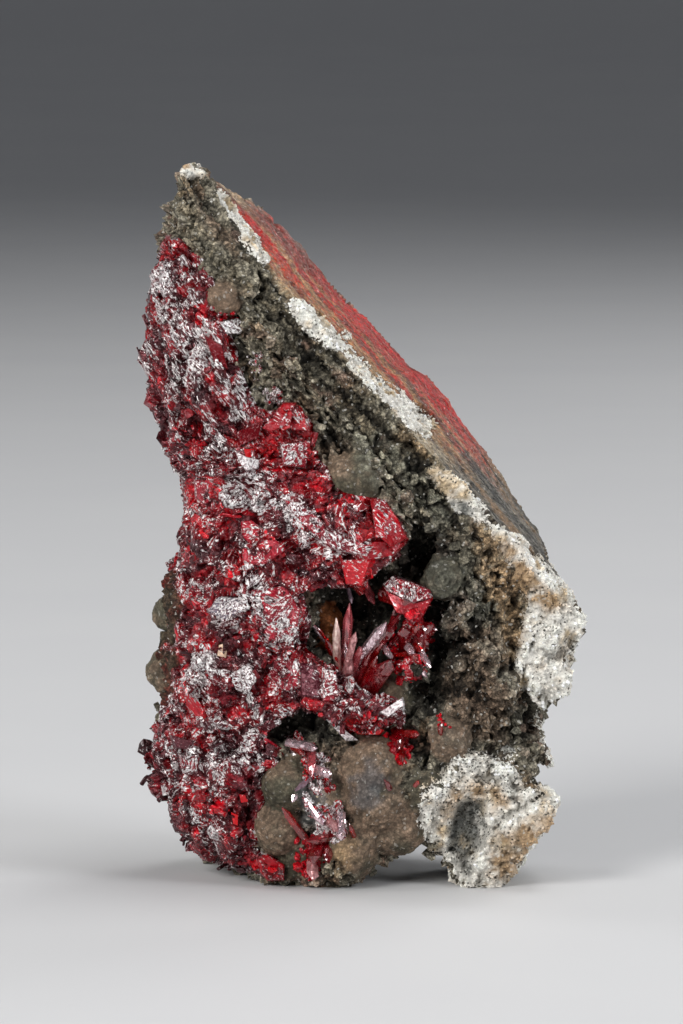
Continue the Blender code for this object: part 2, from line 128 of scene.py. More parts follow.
# Places of the rock's front pushed away from the camera: how far in mm, how soft the edge is in
# photo places, and their outline
DENTS = [
    (1.8, 5, [(457, 806), (468, 799), (482, 802), (486, 822), (480, 850), (464, 868), (450, 850),
              (452, 822)]),
    (1.6, 6, [(430, 845), (455, 850), (478, 868), (492, 888), (440, 888)]),
    (-0.9, 3, [(497, 820), (520, 806), (548, 796), (562, 806), (560, 822), (545, 842), (520, 852),
               (505, 846)]),
    (1.2, 2, [(494, 822), (516, 808), (547, 793), (546, 799), (520, 812), (498, 828)]),
    (1.0, 4, [(520, 870), (548, 838), (556, 826), (540, 858), (508, 886), (496, 886)]),
    (-0.8, 5, [(452, 758), (512, 750), (520, 775), (500, 790), (455, 790), (435, 800)]),
    (1.2, 3, [(572, 640), (590, 640), (590, 655), (548, 662), (546, 655)]),
    (1.0, 4, [(505, 600), (522, 590), (522, 640), (512, 670), (503, 640)]),
    (0.9, 3, [(540, 700), (520, 690), (514, 668), (522, 672), (530, 690), (552, 703)]),
]

# Front and back edges of the slickensided plane: down and across in the picture
PLANE_FRONT = np.array([(160, 196), (188, 215), (226, 240), (265, 268), (312, 304), (362, 352),
                        (412, 402), (470, 450), (535, 500), (585, 540), (614, 583)], float)
PLANE_BACK = np.array([(160, 200), (165, 205), (216, 262), (250, 300), (295, 340), (340, 380),
                       (378, 420), (402, 447), (432, 470), (475, 500), (545, 540), (590, 570),
                       (614, 585)], float)

# How far the plane's back edge stands out beyond the solid: down in the picture and mm
PLANE_LIFT = np.array([(160, 0.2), (178, 0.7), (212, 1.0), (240, 1.15), (258, 1.0), (270, 0.3),
                       (298, 0.25), (318, 0.7), (365, 0.6), (378, 1.4), (404, 1.4), (416, 1.0),
                       (450, 0.8), (475, 0.4), (510, 0.0)])

# Hollows of the rock, darkened with painted shade: centre and radius
CAVITIES = np.array([
    (-0.5, -8.5, 32.5, 5.6), (0.5, -8.5, 27.8, 4.6), (-3.6, -8.5, 29.5, 3.6), (3.6, -8, 29.5, 3.4),
    (7, -8, 38.5, 3.7), (7.5, -8, 33, 3.2), (9, -8, 28, 3), (7, -8, 22.8, 2.4),
     (-4.5, -9, 52.5, 1.2),
    (-14.5, -6.5, 62.5, 1.5), (-9, -9.8, 19.8, 3.2), (-5, -10.5, 19.2, 2.2), (-13.5, -6, 5, 1.5),
    (12.5, -9.3, 31, 1), (10.5, -9, 23.4, 1.1), (5.5, -9.4, 50, 1.1),
    (2.5, -10, 18.4, 1.3),
])

# White bands of the rock's front, as photo places
WHITE_ZONES = [
    [(180, 156), (202, 156), (209, 170), (203, 180), (192, 177), (183, 180)],
    [(212, 188), (221, 192), (247, 227), (268, 258), (264, 266), (244, 243), (227, 218),
     (213, 200)],
    [(289, 299), (305, 302), (345, 338), (353, 352), (335, 351), (310, 337), (292, 317)],
    [(345, 349), (372, 370), (400, 396), (432, 425), (426, 441), (404, 426), (380, 396),
     (354, 372)],
    [(430, 467), (454, 473), (480, 498), (494, 514), (478, 523), (454, 508), (435, 487)],
    [(486, 521), (504, 526), (524, 542), (550, 572), (588, 600), (592, 632), (580, 652),
     (584, 692), (568, 708), (545, 706), (530, 697), (514, 682), (519, 640), (528, 600),
     (507, 562), (494, 541)],
]

# Zones of the rock's front: how far the edge wanders, how soft it is, outlines as photo places
ROCK_ZONES = {
    "foot": (1.1, 5, [
        [(418, 806), (434, 778), (458, 756), (512, 745), (528, 770), (552, 782), (570, 808),
         (550, 842), (522, 870), (502, 892), (466, 890), (448, 864), (430, 842), (420, 826)],
    ]),
    "ochre": (1.3, 9, [
        [(180, 156), (200, 156), (214, 178), (206, 190), (186, 186), (178, 174)],
        [(474, 520), (500, 540), (528, 588), (522, 640), (508, 662), (496, 622), (480, 572)],
        [(502, 540), (545, 548), (578, 584), (580, 600), (560, 612), (528, 606), (508, 590)],
        [(500, 835), (548, 815), (566, 812), (548, 845), (520, 872), (500, 890), (488, 870)],
        [(448, 800), (456, 786), (478, 780), (500, 790), (506, 806), (494, 812), (484, 798),
         (462, 802), (454, 822), (444, 820)],
        [(336, 842), (356, 840), (352, 872), (334, 880)],
        [(400, 425), (436, 452), (444, 464), (424, 462), (396, 440)],
    ]),
    "grey": (1, 7, [
        [(456, 802), (484, 802), (488, 836), (476, 850), (470, 876), (452, 862), (446, 846),
         (452, 822)],
        [(436, 500), (470, 500), (512, 690), (528, 760), (440, 745), (420, 560)],
    ]),
    "pale": (1, 10, [
        [(352, 432), (400, 428), (440, 452), (470, 500), (440, 520), (400, 500), (366, 476)],
        [(466, 470), (500, 520), (494, 560), (470, 540), (456, 500)],
    ]),
    "tan": (0.6, 8, [
        [(320, 745), (360, 738), (386, 745), (366, 790), (350, 820), (322, 815)],
        [(382, 676), (400, 680), (402, 700), (384, 704)],
        [(262, 755), (302, 755), (300, 775), (262, 780)],
        [(208, 284), (232, 282), (236, 312), (212, 314)],
        [(345, 815), (420, 812), (420, 832), (350, 865)],
        [(452, 628), (498, 622), (516, 690), (508, 748), (452, 738), (438, 680)],
        [(300, 440), (350, 440), (350, 480), (300, 470)],
        [(196, 182), (212, 186), (246, 262), (226, 258), (200, 215)],
    ]),
    "blue": (1.6, 5, [
        [(360, 758), (386, 760), (386, 800), (362, 812), (352, 800)],
        [(300, 772), (326, 780), (322, 835), (300, 830)],
    ]),
}

# Zones of the crust's front
SILVER_ZONES = [
    [(150, 262), (196, 262), (200, 300), (170, 330), (150, 320)],
    [(165, 320), (215, 330), (232, 372), (255, 392), (250, 425), (215, 400), (180, 400),
     (165, 350)],
    [(212, 432), (262, 470), (262, 520), (215, 500), (200, 450)],
    [(283, 498), (372, 546), (366, 560), (330, 552), (290, 520)],
    [(252, 590), (300, 600), (296, 650), (262, 650)],
    [(190, 650), (250, 650), (262, 700), (250, 760), (215, 800), (195, 790), (200, 720),
     (185, 680)],
    [(270, 655), (300, 660), (300, 692), (275, 690)],
    [(200, 600), (245, 595), (245, 625), (215, 640)],
    [(195, 822), (222, 822), (232, 850), (205, 848)],
    [(160, 740), (205, 745), (200, 775), (165, 768)],
]
RUBY_ZONES = [
    [(262, 400), (320, 405), (315, 475), (240, 470), (232, 440)],
    [(365, 498), (410, 535), (392, 556), (355, 560), (362, 520)],
    [(330, 558), (380, 560), (362, 588), (338, 585)],
    [(150, 230), (176, 232), (170, 255), (152, 255)],
    [(180, 685), (208, 690), (208, 722), (185, 712)],
    [(250, 855), (288, 858), (288, 884), (258, 884)],
    [(345, 715), (390, 720), (390, 742), (352, 742)],
]
BARE_ZONES = [
    [(148, 575), (174, 572), (180, 600), (172, 645), (148, 645)],
    [(136, 652), (160, 643), (174, 658), (172, 698), (154, 710), (136, 700)],
]
COMBED_DOWN = (430, 500)

# Large flat faces of the crust: look, lift towards the camera, corners as photo places
FACES = [
    ("rosy", 0.7, [(241, 522), (252, 521), (287, 549), (262, 566), (243, 562)]),
    ("mauve", 0.5, [(300, 663), (321, 664), (321, 699), (301, 696)]),
    ("frosted", 0.6, [(322, 668), (336, 672), (339, 700), (323, 702)]),
    ("ruby", 0.8, [(370, 499), (385, 500), (398, 519), (407, 538), (391, 547), (376, 533)]),
    ("ruby", 0.5, [(376, 541), (405, 543), (392, 556), (366, 561), (356, 549)]),
    ("salmon", 0.5, [(341, 560), (371, 560), (362, 586), (346, 584)]),
    ("frosted", 0.7, [(284, 500), (300, 504), (346, 539), (372, 547), (366, 556), (330, 548),
                      (300, 522)]),
    ("ruby", 0.8, [(262, 428), (283, 403), (296, 403), (290, 424), (271, 432)]),
    ("deep", 0.7, [(236, 432), (262, 421), (258, 438), (240, 446)]),
    ("ruby", 0.5, [(286, 405), (304, 414), (308, 431), (291, 430)]),
    ("rosy", 0.6, [(281, 445), (312, 441), (305, 468), (284, 465)]),
    ("white", 0.9, [(236, 452), (247, 457), (259, 460), (258, 468), (246, 471), (240, 463)]),
    ("white", 0.5, [(161, 785), (182, 792), (163, 796)]),
    ("ruby", 0.5, [(183, 688), (192, 688), (207, 714), (200, 722), (186, 706)]),
    ("rosy", 0.5, [(195, 480), (215, 478), (222, 495), (205, 505), (196, 498)]),
    ("frosted", 0.5, [(251, 590), (285, 586), (300, 610), (296, 635), (268, 641), (256, 620)]),
    ("frosted", 0.6, [(272, 655), (298, 660), (300, 688), (285, 693), (268, 675)]),
    ("white", 0.6, [(325, 718), (335, 722), (358, 740), (346, 741)]),
    ("bright", 0.6, [(354, 726), (366, 722), (384, 730), (380, 735), (358, 734)]),
    ("white", 0.7, [(380, 712), (402, 698), (404, 705), (388, 717)]),
    ("blue", 0.4, [(218, 596), (238, 598), (243, 610), (228, 622), (208, 612)]),
    ("cream", 0.4, [(219, 645), (229, 642), (226, 658), (217, 656)]),
    ("frosted", 0.5, [(180, 755), (200, 757), (198, 772), (182, 768)]),
    ("rosy", 0.5, [(262, 735), (282, 748), (284, 757), (268, 756)]),
    ("bright", 0.1, [(239, 794), (248, 795), (248, 802), (241, 803)]),
    ("ruby", 0.6, [(258, 860), (268, 855), (284, 865), (284, 880), (268, 881), (260, 872)]),
    ("bright", 0.5, [(231, 812), (238, 815), (238, 826), (233, 824)]),
    ("silverplate", 0.6, [(219, 322), (238, 318), (247, 325), (240, 334), (226, 334)]),
    ("bright", 0.6, [(244, 449), (254, 449), (256, 457), (246, 458)]),
    ("bright", 0.7, [(279, 423), (289, 421), (291, 428), (281, 431)]),
    ("deep", 0.5, [(204, 335), (222, 345), (228, 370), (214, 362)]),
    ("mauve", 0.4, [(170, 735), (196, 742), (200, 752), (176, 748)]),
    ("rosy", 0.5, [(382, 580), (392, 577), (428, 592), (432, 600), (418, 617), (396, 606),
                   (384, 594)]),
]

# Looks of those faces: colour, silvery share, etching, clearness
FACE_LOOKS = {
    "rosy": ((172, 26, 44), 0.45, 0.8, 0.0),
    "mauve": ((62, 14, 24), 0.0, 0.4, 0.0),
    "frosted": ((150, 24, 40), 0.6, 0.9, 0.0),
    "ruby": ((176, 8, 24), 0.2, 0.55, 0.3),
    "deep": ((110, 4, 14), 0.0, 0.3, 0.3),
    "bright": ((222, 8, 16), 0.1, 0.45, 0.2),
    "salmon": ((200, 34, 42), 0.3, 0.6, 0.1),
    # White faces stand for glints on the crust: their near-white colour is a painted highlight.
    "white": ((235, 225, 228), 1.6, 0.35, 0.0),
    "blue": ((120, 116, 130), 0.85, 0.9, 0.0),
    "cream": ((226, 196, 168), 0.3, 0.5, 0.0),
    "silverplate": ((190, 180, 186), 1.3, 0.6, 0.0),
}

# Blocky crystals that stand free of the rock: look, how far forward the front is, thickness and
# corners as photo places
BLOCKS = [
    ("ruby", -13.2, 5.0, [(383, 586), (388, 592), (414, 604), (433, 598), (421, 621), (396, 613)]),
    ("frosted", -13.4, 4.6, [(383, 584), (392, 577), (412, 583), (430, 590), (433, 598),
                             (414, 603), (389, 592)]),
    ("deep", -11.0, 3.0, [(404, 618), (424, 618), (426, 634), (410, 640), (400, 630)]),
]

# Patches strewn with tiny crystals: how many, their sizes, how silvery, outline as photo places
STREWN = [
    (46, (0.35, 1.0), 0.9, [(289, 738), (303, 735), (307, 750), (292, 753)]),
    (130, (0.3, 0.9), 0.7, [(302, 752), (328, 755), (333, 790), (318, 796), (303, 780)]),
    (40, (0.3, 0.7), 1.0, [(301, 793), (309, 791), (321, 820), (313, 824)]),
    (150, (0.3, 0.9), 1.0, [(317, 806), (340, 801), (348, 828), (340, 843), (318, 838)]),
    (90, (0.3, 1.0), 0.1, [(296, 838), (318, 836), (326, 860), (310, 880), (296, 866)]),
    (50, (0.4, 1.0), 0.0, [(385, 735), (406, 730), (411, 758), (397, 765)]),
    (14, (0.3, 0.6), 0.0, [(432, 715), (450, 715), (452, 728), (440, 732)]),
    (44, (0.3, 0.7), 1.0, [(262, 392), (278, 386), (285, 402), (268, 405)]),
    (36, (0.25, 0.5), 1.0, [(247, 352), (262, 352), (262, 380), (252, 380)]),
    (60, (0.3, 0.6), 0.9, [(386, 581), (392, 578), (428, 592), (410, 600), (390, 590)]),
    (120, (0.4, 1.2), 0.1, [(382, 636), (420, 606), (434, 640), (424, 678), (396, 682)]),
    (60, (0.3, 0.8), 0.6, [(318, 690), (404, 696), (404, 722), (350, 735)]),
    (26, (0.3, 0.7), 0.5, [(208, 306), (232, 312), (240, 320), (214, 326)]),
]

# More free crystals: root and tip as photo places with how far forward they are, width, look
SPIKES = [
    ((378, 646, -10.0), (402, 611, -12.0), 1.0, "ruby"),
    ((384, 652, -10.0), (410, 622, -12.4), 0.8, "ruby"),
    ((388, 640, -10.0), (396, 604, -11.5), 0.8, "ruby"),
    ((392, 655, -11.0), (417, 654, -12.8), 0.6, "bright"),
    ((396, 662, -10.5), (420, 672, -12.4), 0.9, "ruby"),
    ((398, 668, -10.5), (416, 680, -12.0), 0.7, "bright"),
    ((384, 646, -11.0), (392, 660, -12.8), 0.9, "silver"),
    ((415, 622, -11.0), (438, 630, -12.6), 1.0, "silver"),
    ((412, 632, -10.5), (430, 645, -12.0), 1.1, "ruby"),
    ((417, 640, -11.0), (431, 667, -12.6), 0.4, "silver"),
    ((415, 660, -11.0), (428, 679, -12.4), 0.35, "silver"),
    ((405, 640, -10.5), (424, 620, -12.2), 1.2, "bright"),
    ((331, 648, -10.5), (339, 664, -12.8), 0.5, "bright"),
    ((328, 642, -11.0), (317, 627, -12.4), 0.5, "bright"),
    ((343, 670, -10.5), (333, 640, -12.4), 0.6, "bright"),
    ((352, 680, -11.0), (360, 645, -13.0), 0.9, "rose"),
    ((356, 686, -10.5), (372, 650, -13.0), 1.1, "ruby"),
    ((360, 692, -10.5), (378, 655, -13.4), 1.3, "bright"),
    ((372, 696, -10.5), (392, 664, -13.0), 1.0, "ruby"),
    ((366, 670, -10.5), (384, 640, -12.6), 0.7, "bright"),
    ((360, 652, -10.5), (386, 630, -12.2), 0.6, "pale"),
    ((348, 676, -10.5), (345, 640, -12.2), 0.6, "silver"),
    ((310, 642, -10.5), (300, 612, -12.0), 0.6, "rose"),
    ((303, 650, -10.5), (322, 670, -12.6), 0.7, "silver"),
    ((296, 638, -10.5), (316, 660, -12.4), 0.6, "lilac"),
    ((359, 576, -9.0), (375, 605, -11.6), 1.1, "rose"),
    ((347, 584, -9.0), (352, 604, -10.5), 0.7, "lilac"),
    ((299, 592, -10.0), (328, 565, -12.0), 0.7, "silver"),
    ((330, 586, -10.0), (352, 570, -12.0), 0.7, "ruby"),
    ((374, 735, -10.0), (391, 752, -12.4), 0.6, "silver"),
    ((388, 752, -10.5), (412, 732, -13.0), 0.8, "ruby"),
    ((392, 745, -10.5), (400, 764, -12.6), 0.9, "bright"),
]

# Free crystals: root, tip, width and look
CLUSTERS = {
    "pocket_spray": [
        ((-3.0, -7.2, 22.7), (-0.5, -9.0, 26.6), 2.6, "ruby"),
        ((-3.4, -9.0, 25.5), (-3.5, -11.0, 32.2), 0.9, "cream"),
        ((-2.5, -8.0, 25.5), (-1.9, -10.0, 33.8), 1.4, "rose"),
        ((-2.5, -9.0, 25.0), (-1.2, -12.5, 30.6), 1.3, "pale"),
        ((-1.8, -8.6, 25.6), (2.4, -11.0, 31.6), 1.3, "silver"),
        ((-1.2, -8.0, 25.5), (3.3, -10.0, 31.3), 1.8, "ruby"),
        ((-3.0, -8.4, 25.5), (-4.8, -10.0, 29.5), 0.9, "bright"),
        ((-2.4, -7.6, 26.0), (-7.0, -10.0, 32.0), 0.8, "silver"),
        ((-2.2, -8.8, 23.5), (-1.9, -10.5, 28.1), 1.7, "pale"),
        ((-0.6, -8.6, 22.1), (2.8, -12.0, 27.3), 2.1, "ruby"),
        ((0.4, -8.0, 22.0), (1.5, -10.5, 26.0), 1.3, "salmon"),
    ],
    "pocket_block": [
        ((4.6, -2.2, 34.4), (4.8, -9.6, 34.0), 2.6, "ruby"),
        ((2.1, -8.2, 34.6), (6.0, -11.0, 33.5), 2.8, "bright"),
        ((3.6, -8.0, 34.0), (7.6, -10.5, 33.3), 2.1, "bright"),
    ],
    "pocket_fan": [
        ((5.0, -2.6, 27.6), (5.2, -9.2, 28.0), 2.4, "ruby"),
        ((4.4, -8.4, 27.2), (6.0, -11.5, 27.3), 1.1, "bright"),
        ((4.6, -8.0, 28.4), (5.5, -11.0, 27.7), 1.1, "silver"),
        ((5.8, -8.4, 28.2), (7.5, -11.0, 26.1), 0.7, "silver"),
        ((5.5, -8.4, 27.2), (7.0, -10.5, 24.9), 0.7, "silver"),
        ((5.4, -7.6, 28.4), (7.8, -10.5, 31.2), 1.8, "ruby"),
        ((4.6, -7.6, 27.8), (4.3, -10.5, 30.7), 1.6, "ruby"),
        ((4.6, -7.5, 27.6), (6.9, -9.4, 28.4), 1.5, "bright"),
    ],
    "drop_cluster": [
        ((4.6, -6.0, 17.6), (4.3, -10.8, 17.4), 1.7, "ruby"),
        ((3.2, -9.2, 18.2), (6.2, -11.6, 18.4), 1.1, "bright"),
        ((3.6, -9.0, 18.6), (3.8, -12.0, 16.6), 1.5, "ruby"),
        ((3.8, -9.4, 17.4), (4.1, -12.0, 15.1), 1.4, "bright"),
    ],
    "nodule_cluster_upper": [
        ((-9.1, -10.6, 17.4), (-5.6, -12.6, 17.0), 1.5, "silver"),
        ((-8.5, -10.6, 16.8), (-7.0, -12.6, 16.2), 0.9, "bright"),
        ((-6.4, -10.0, 17.0), (-6.3, -13.0, 13.6), 1.1, "rose"),
        ((-6.6, -10.8, 14.6), (-4.0, -13.5, 14.1), 1.1, "silver"),
        ((-6.3, -10.2, 13.6), (-8.4, -13.0, 11.9), 1.2, "lilac"),
        ((-7.8, -11.0, 12.3), (-8.6, -12.6, 10.6), 0.9, "silver"),
    ],
    "nodule_cluster_lower": [
        ((-7.3, -11.0, 11.0), (-4.9, -12.9, 7.9), 0.9, "silver"),
        ((-6.2, -11.0, 10.8), (-4.9, -12.4, 8.0), 0.8, "lilac"),
        ((-4.6, -11.0, 8.4), (-3.3, -13.2, 7.8), 1.7, "pale"),
        ((-2.9, -11.0, 9.1), (-3.0, -13.2, 6.3), 1.2, "silver"),
        ((-3.6, -11.0, 6.6), (-7.0, -13.0, 6.2), 1.2, "ruby"),
        ((-5.4, -10.2, 6.0), (-6.2, -13.0, 3.3), 2.3, "ruby"),
        ((-4.6, -10.8, 5.8), (-4.3, -13.0, 3.5), 1.2, "ruby"),
        ((-6.2, -9.6, 3.6), (-6.2, -11.6, 1.3), 1.4, "pale"),
    ],
    "prism_left": [((-6.9, -10.3, 5.9), (-9.9, -12.2, 10.2), 0.9, "bright")],
    "prism_middle": [((3.4, -10.8, 10.8), (2.0, -13.2, 13.5), 0.8, "ruby")],
    "chip_right": [((5.4, -10.4, 11.3), (6.0, -12.2, 13.3), 0.9, "salmon")],
    "prism_small": [((-1.4, -11.4, 6.6), (-2.0, -13.2, 8.3), 0.8, "bright")],
    "speck_right": [((8.7, -10.6, 18.2), (8.5, -12.0, 19.6), 0.8, "bright")],
}


def shade(red, green, blue):
    """A colour given as 0 to 255 on a screen, as the linear numbers a shader takes."""
    c = np.array((red, green, blue)) / 255.0
    return np.where(c <= 0.04045, c / 12.92, ((c + 0.055) / 1.055) ** 2.4)


# Colours of the rock
MATRIX = shade(138, 131, 114)
MATRIX_DARK = shade(82, 78, 67)
MATRIX_PALE = shade(180, 173, 155)
WHITE = shade(243, 239, 230)
CREAM = shade(205, 184, 152)
OCHRE = shade(180, 150, 114)
TAN = shade(130, 109, 91)
OLIVE = shade(86, 82, 67)
AMBER = shade(158, 92, 46)
BLUE_GREY = shade(88, 92, 98)

# Colours of the crystals: body colour, metallic value, transmission
TONES = {
    "ruby": (shade(178, 14, 30), 0.0, 0.75),
    "bright": (shade(235, 24, 22), 0.0, 0.85),
    "rose": (shade(226, 120, 128), 0.15, 0.6),
    "salmon": (shade(206, 52, 44), 0.05, 0.6),
    "pale": (shade(236, 190, 190), 0.35, 0.45),
    "cream": (shade(250, 240, 226), 0.35, 0.35),
    "silver": (shade(225, 222, 228), 0.85, 0.0),
    "lilac": (shade(168, 162, 176), 0.6, 0.0),
}


# ---- numbers in space


def hashed(cells, seed):
    """Three even random numbers from 0 to 1 for each row of whole numbers."""
    c = cells.astype(np.int64).astype(np.uint32) * np.array(HASH_PRIMES, np.uint32)
    bits = c[..., 0] ^ c[..., 1] ^ c[..., 2] ^ np.uint32(seed * HASH_SEED % 2**32)
    out = []
    for factor in HASH_FACTORS:
        bits = (bits ^ (bits >> np.uint32(15))) * np.uint32(factor)
        bits = bits ^ (bits >> np.uint32(13))
        out.append(bits / (2.0**32 - 1))
    return np.stack(out, axis=-1)


def waves(points, size, seed):
    """Smooth noise from about -1 to 1 with features as wide as size."""
    p = points / size
    low = np.floor(p)
    part = p - low
    ease = part * part * part * (part * (part * 6 - 15) + 10)
    total = np.zeros(len(p))
    for corner in np.ndindex(2, 2, 2):
        corner = np.array(corner)
        slope = hashed(low + corner, seed) * 2 - 1
        weight = np.prod(np.where(corner, ease, 1 - ease), axis=1)
        total += weight * np.sum(slope * (part - corner), axis=1)
    return total * 1.4


def rough(points, size, seed, octaves=4, gain=0.5):
    """Several sizes of noise added together."""
    total = np.zeros(len(points))
    amount = 1.0
    for step in range(octaves):
        total += amount * waves(points, size / 2**step, seed + step)
        amount *= gain
    return total


def cells(points, size, seed):
    """Distances to the nearest two scattered points in units of size, the nearest, its numbers."""
    p = points / size
    low = np.floor(p)
    first = np.full(len(p), FAR)
    second = np.full(len(p), FAR)
    seat = np.zeros_like(p)
    draw = np.zeros_like(p)
    for step in np.ndindex(3, 3, 3):
        cell = low + np.array(step) - 1
        place = cell + hashed(cell, seed)
        distance = np.linalg.norm(place - p, axis=1)
        closer = distance < first
        second = np.where(closer, first, np.minimum(second, distance))
        first = np.where(closer, distance, first)
        seat[closer] = place[closer]
        draw[closer] = hashed(cell[closer], seed + 71)
    return first, second, seat * size, draw


def facets(points, size, seed, offset=0.5):
    """Relief of flat, tilted facets about as wide as size, from about -1 to 1."""
    _, _, seat, draw = cells(points, size, seed)
    tilt = draw * 2 - 1
    return np.sum((points - seat) * tilt, axis=1) / size * 1.6 + (draw[:, 0] - 0.5) * 2 * offset


def bubbles(points, size, seed):
    """Relief of round bumps about as wide as size, from 0 to 1."""
    return dome(cells(points, size, seed)[0], 0.75)


def dome(distance, radius):
    """1 in the middle of a round bump, 0 at its rim and beyond."""
    return np.sqrt(np.clip(1 - (distance / radius) ** 2, 0, 1))


def blend(low, high, value):
    """0 below low, 1 above high and smooth between."""
    t = np.clip((value - low) / (high - low), 0, 1)
    return t * t * (3 - 2 * t)


def fade(low, high, value):
    """1 below low, 0 above high and smooth between."""
    return 1 - blend(low, high, value)


def mixed(one, other, share):
    """Colours between one and other."""
    share = np.asarray(share)[:, None]
    return one * (1 - share) + other * share


def layered(colour, *layers):
    """A colour under layers, each another colour with the share of it that covers."""
    for other, share in layers:
        colour = mixed(colour, other, share)
    return colour


def unit(rows):
    """Rows of numbers as directions one long."""
    return rows / np.linalg.norm(rows, axis=1, keepdims=True)


# ---- the photo's frame


def to_photo(points):
    """Photo places of points in the frame, in mm."""
    q = points - PHOTO_TARGET
    scale = PHOTO_DISTANCE / PHOTO_UNIT / (PHOTO_DISTANCE + q @ AHEAD)
    return np.stack([PHOTO_MIDDLE[0] + q[:, 0] * scale, PHOTO_MIDDLE[1] - (q @ UP) * scale], axis=1)


def photo_ray(across, down):
    """Start and direction of the line of sight through a photo place, in mm."""
    eye = PHOTO_TARGET - AHEAD * PHOTO_DISTANCE
    way = AHEAD * PHOTO_DISTANCE
    way = way + RIGHT * (across - PHOTO_MIDDLE[0]) * PHOTO_UNIT
    way = way + UP * (PHOTO_MIDDLE[1] - down) * PHOTO_UNIT
    return eye, way / np.linalg.norm(way)


def photo_place(across, down, forward):
    """The point on a line of sight whose y in the frame is forward, in mm."""
    eye, way = photo_ray(across, down)
    return eye + way * (forward - eye[1]) / way[1]


def inside(places, corners):
    """How far each flat place lies inside a polygon; outside counts below nothing."""
    corners = np.array(corners, float)
    nearest = np.full(len(places), np.inf)
    odd = np.zeros(len(places), bool)
    for a, b in zip(corners, np.roll(corners, -1, axis=0)):
        edge = b - a
        along = np.clip(((places - a) @ edge) / (edge @ edge), 0, 1)
        nearest = np.minimum(nearest, np.linalg.norm(places - a - along[:, None] * edge, axis=1))
        crosses = (a[1] > places[:, 1]) != (b[1] > places[:, 1])
        rise = edge[1] if edge[1] else 1.0
        odd ^= crosses & (places[:, 0] < edge[0] * (places[:, 1] - a[1]) / rise + a[0])
    return np.where(odd, nearest, -nearest)


def facing(corners):
    """A polygon's corners in the order in which it faces the camera."""
    corners = np.array(corners, float)
    area = np.cross(corners, np.roll(corners, -1, axis=0)).sum()
    return corners[::-1] if area > 0 else corners


def zone(places, polygons, ragged, soft):
    """1 inside any of the polygons and 0 outside, with a ragged, soft edge."""
    share = np.zeros(len(places))
    for corners in polygons:
        share = np.maximum(share, blend(-soft, soft, inside(places, corners) + ragged))
    return share


# ---- meshes


def points_of(mesh):
    """The mesh's points in mm."""
    flat = np.empty(len(mesh.vertices) * 3, np.float32)
    mesh.vertices.foreach_get("co", flat)
    return flat.reshape(-1, 3).astype(float) / MM


def normals_of(mesh):
    """The direction out of the mesh at each point."""
    flat = np.empty(len(mesh.vertices) * 3, np.float32)
    mesh.vertex_normals.foreach_get("vector", flat)
    return flat.reshape(-1, 3).astype(float)


def set_points(mesh, points):
    """Move the mesh's points to places in mm."""
    mesh.vertices.foreach_set("co", (points * MM).astype(np.float32).ravel())
    mesh.update()


def quads_of(mesh):
    """Corner numbers of a mesh of quads."""
    flat = np.empty(len(mesh.loops), np.int32)
    mesh.loops.foreach_get("vertex_index", flat)
    return flat.reshape(-1, 4)


def new_object(name, data):
    """An object in the scene that holds a mesh, a lamp or a camera."""
    obj = bpy.data.objects.new(name, data)
    bpy.context.scene.collection.objects.link(obj)
    return obj


def add_piece(name, mesh, look, node=None):
    """A finished piece of the specimen, in place of a node of the frame if one is given."""
    obj = new_object(name, mesh)
    mesh.materials.append(look)
    if node:
        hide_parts(node)
    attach(obj, "root")


def result_of(obj):
    """The mesh that an object's modifiers make. The object is removed with its own mesh."""
    graph = bpy.context.evaluated_depsgraph_get()
    made = bpy.data.meshes.new_from_object(obj.evaluated_get(graph))
    drop(obj)
    return made


def drop(obj):
    """Remove an object and its mesh."""
    mesh = obj.data
    bpy.data.objects.remove(obj, do_unlink=True)
    bpy.data.meshes.remove(mesh)


def relaxed(mesh, rounds):
    """The mesh's points, each pulled towards its neighbours. The mesh is made of quads."""
    quads = quads_of(mesh)
    a = quads.ravel()
    b = np.roll(quads, -1, axis=1).ravel()
    p = points_of(mesh)
    count = np.bincount(a, minlength=len(p)) + np.bincount(b, minlength=len(p))
    for _ in range(rounds):
        total = np.zeros_like(p)
        for k in range(3):
            total[:, k] = np.bincount(a, p[b, k], len(p)) + np.bincount(b, p[a, k], len(p))
        p += 0.5 * (total / count[:, None] - p)
    return p


def hollowness(mesh):
    """How far each point lies below its wider surroundings, in mm; ridges are below nothing."""
    return np.sum((relaxed(mesh, 24) - points_of(mesh)) * normals_of(mesh), axis=1)


def remeshed(name, sources, voxel):
    """One even mesh of quads round all the source meshes."""
    corners = []
    faces = []
    for mesh in sources:
        start = len(corners)
        corners.extend(v.co[:] for v in mesh.vertices)
        faces.extend([start + i for i in p.vertices] for p in mesh.polygons)
    joined = bpy.data.meshes.new(name + "_source")
    joined.from_pydata(corners, [], faces)
    obj = new_object(name + "_source", joined)
    step = obj.modifiers.new("even", "REMESH")
    step.mode = "VOXEL"
    step.voxel_size = voxel * MM
    made = result_of(obj)
    made.name = name
    return made


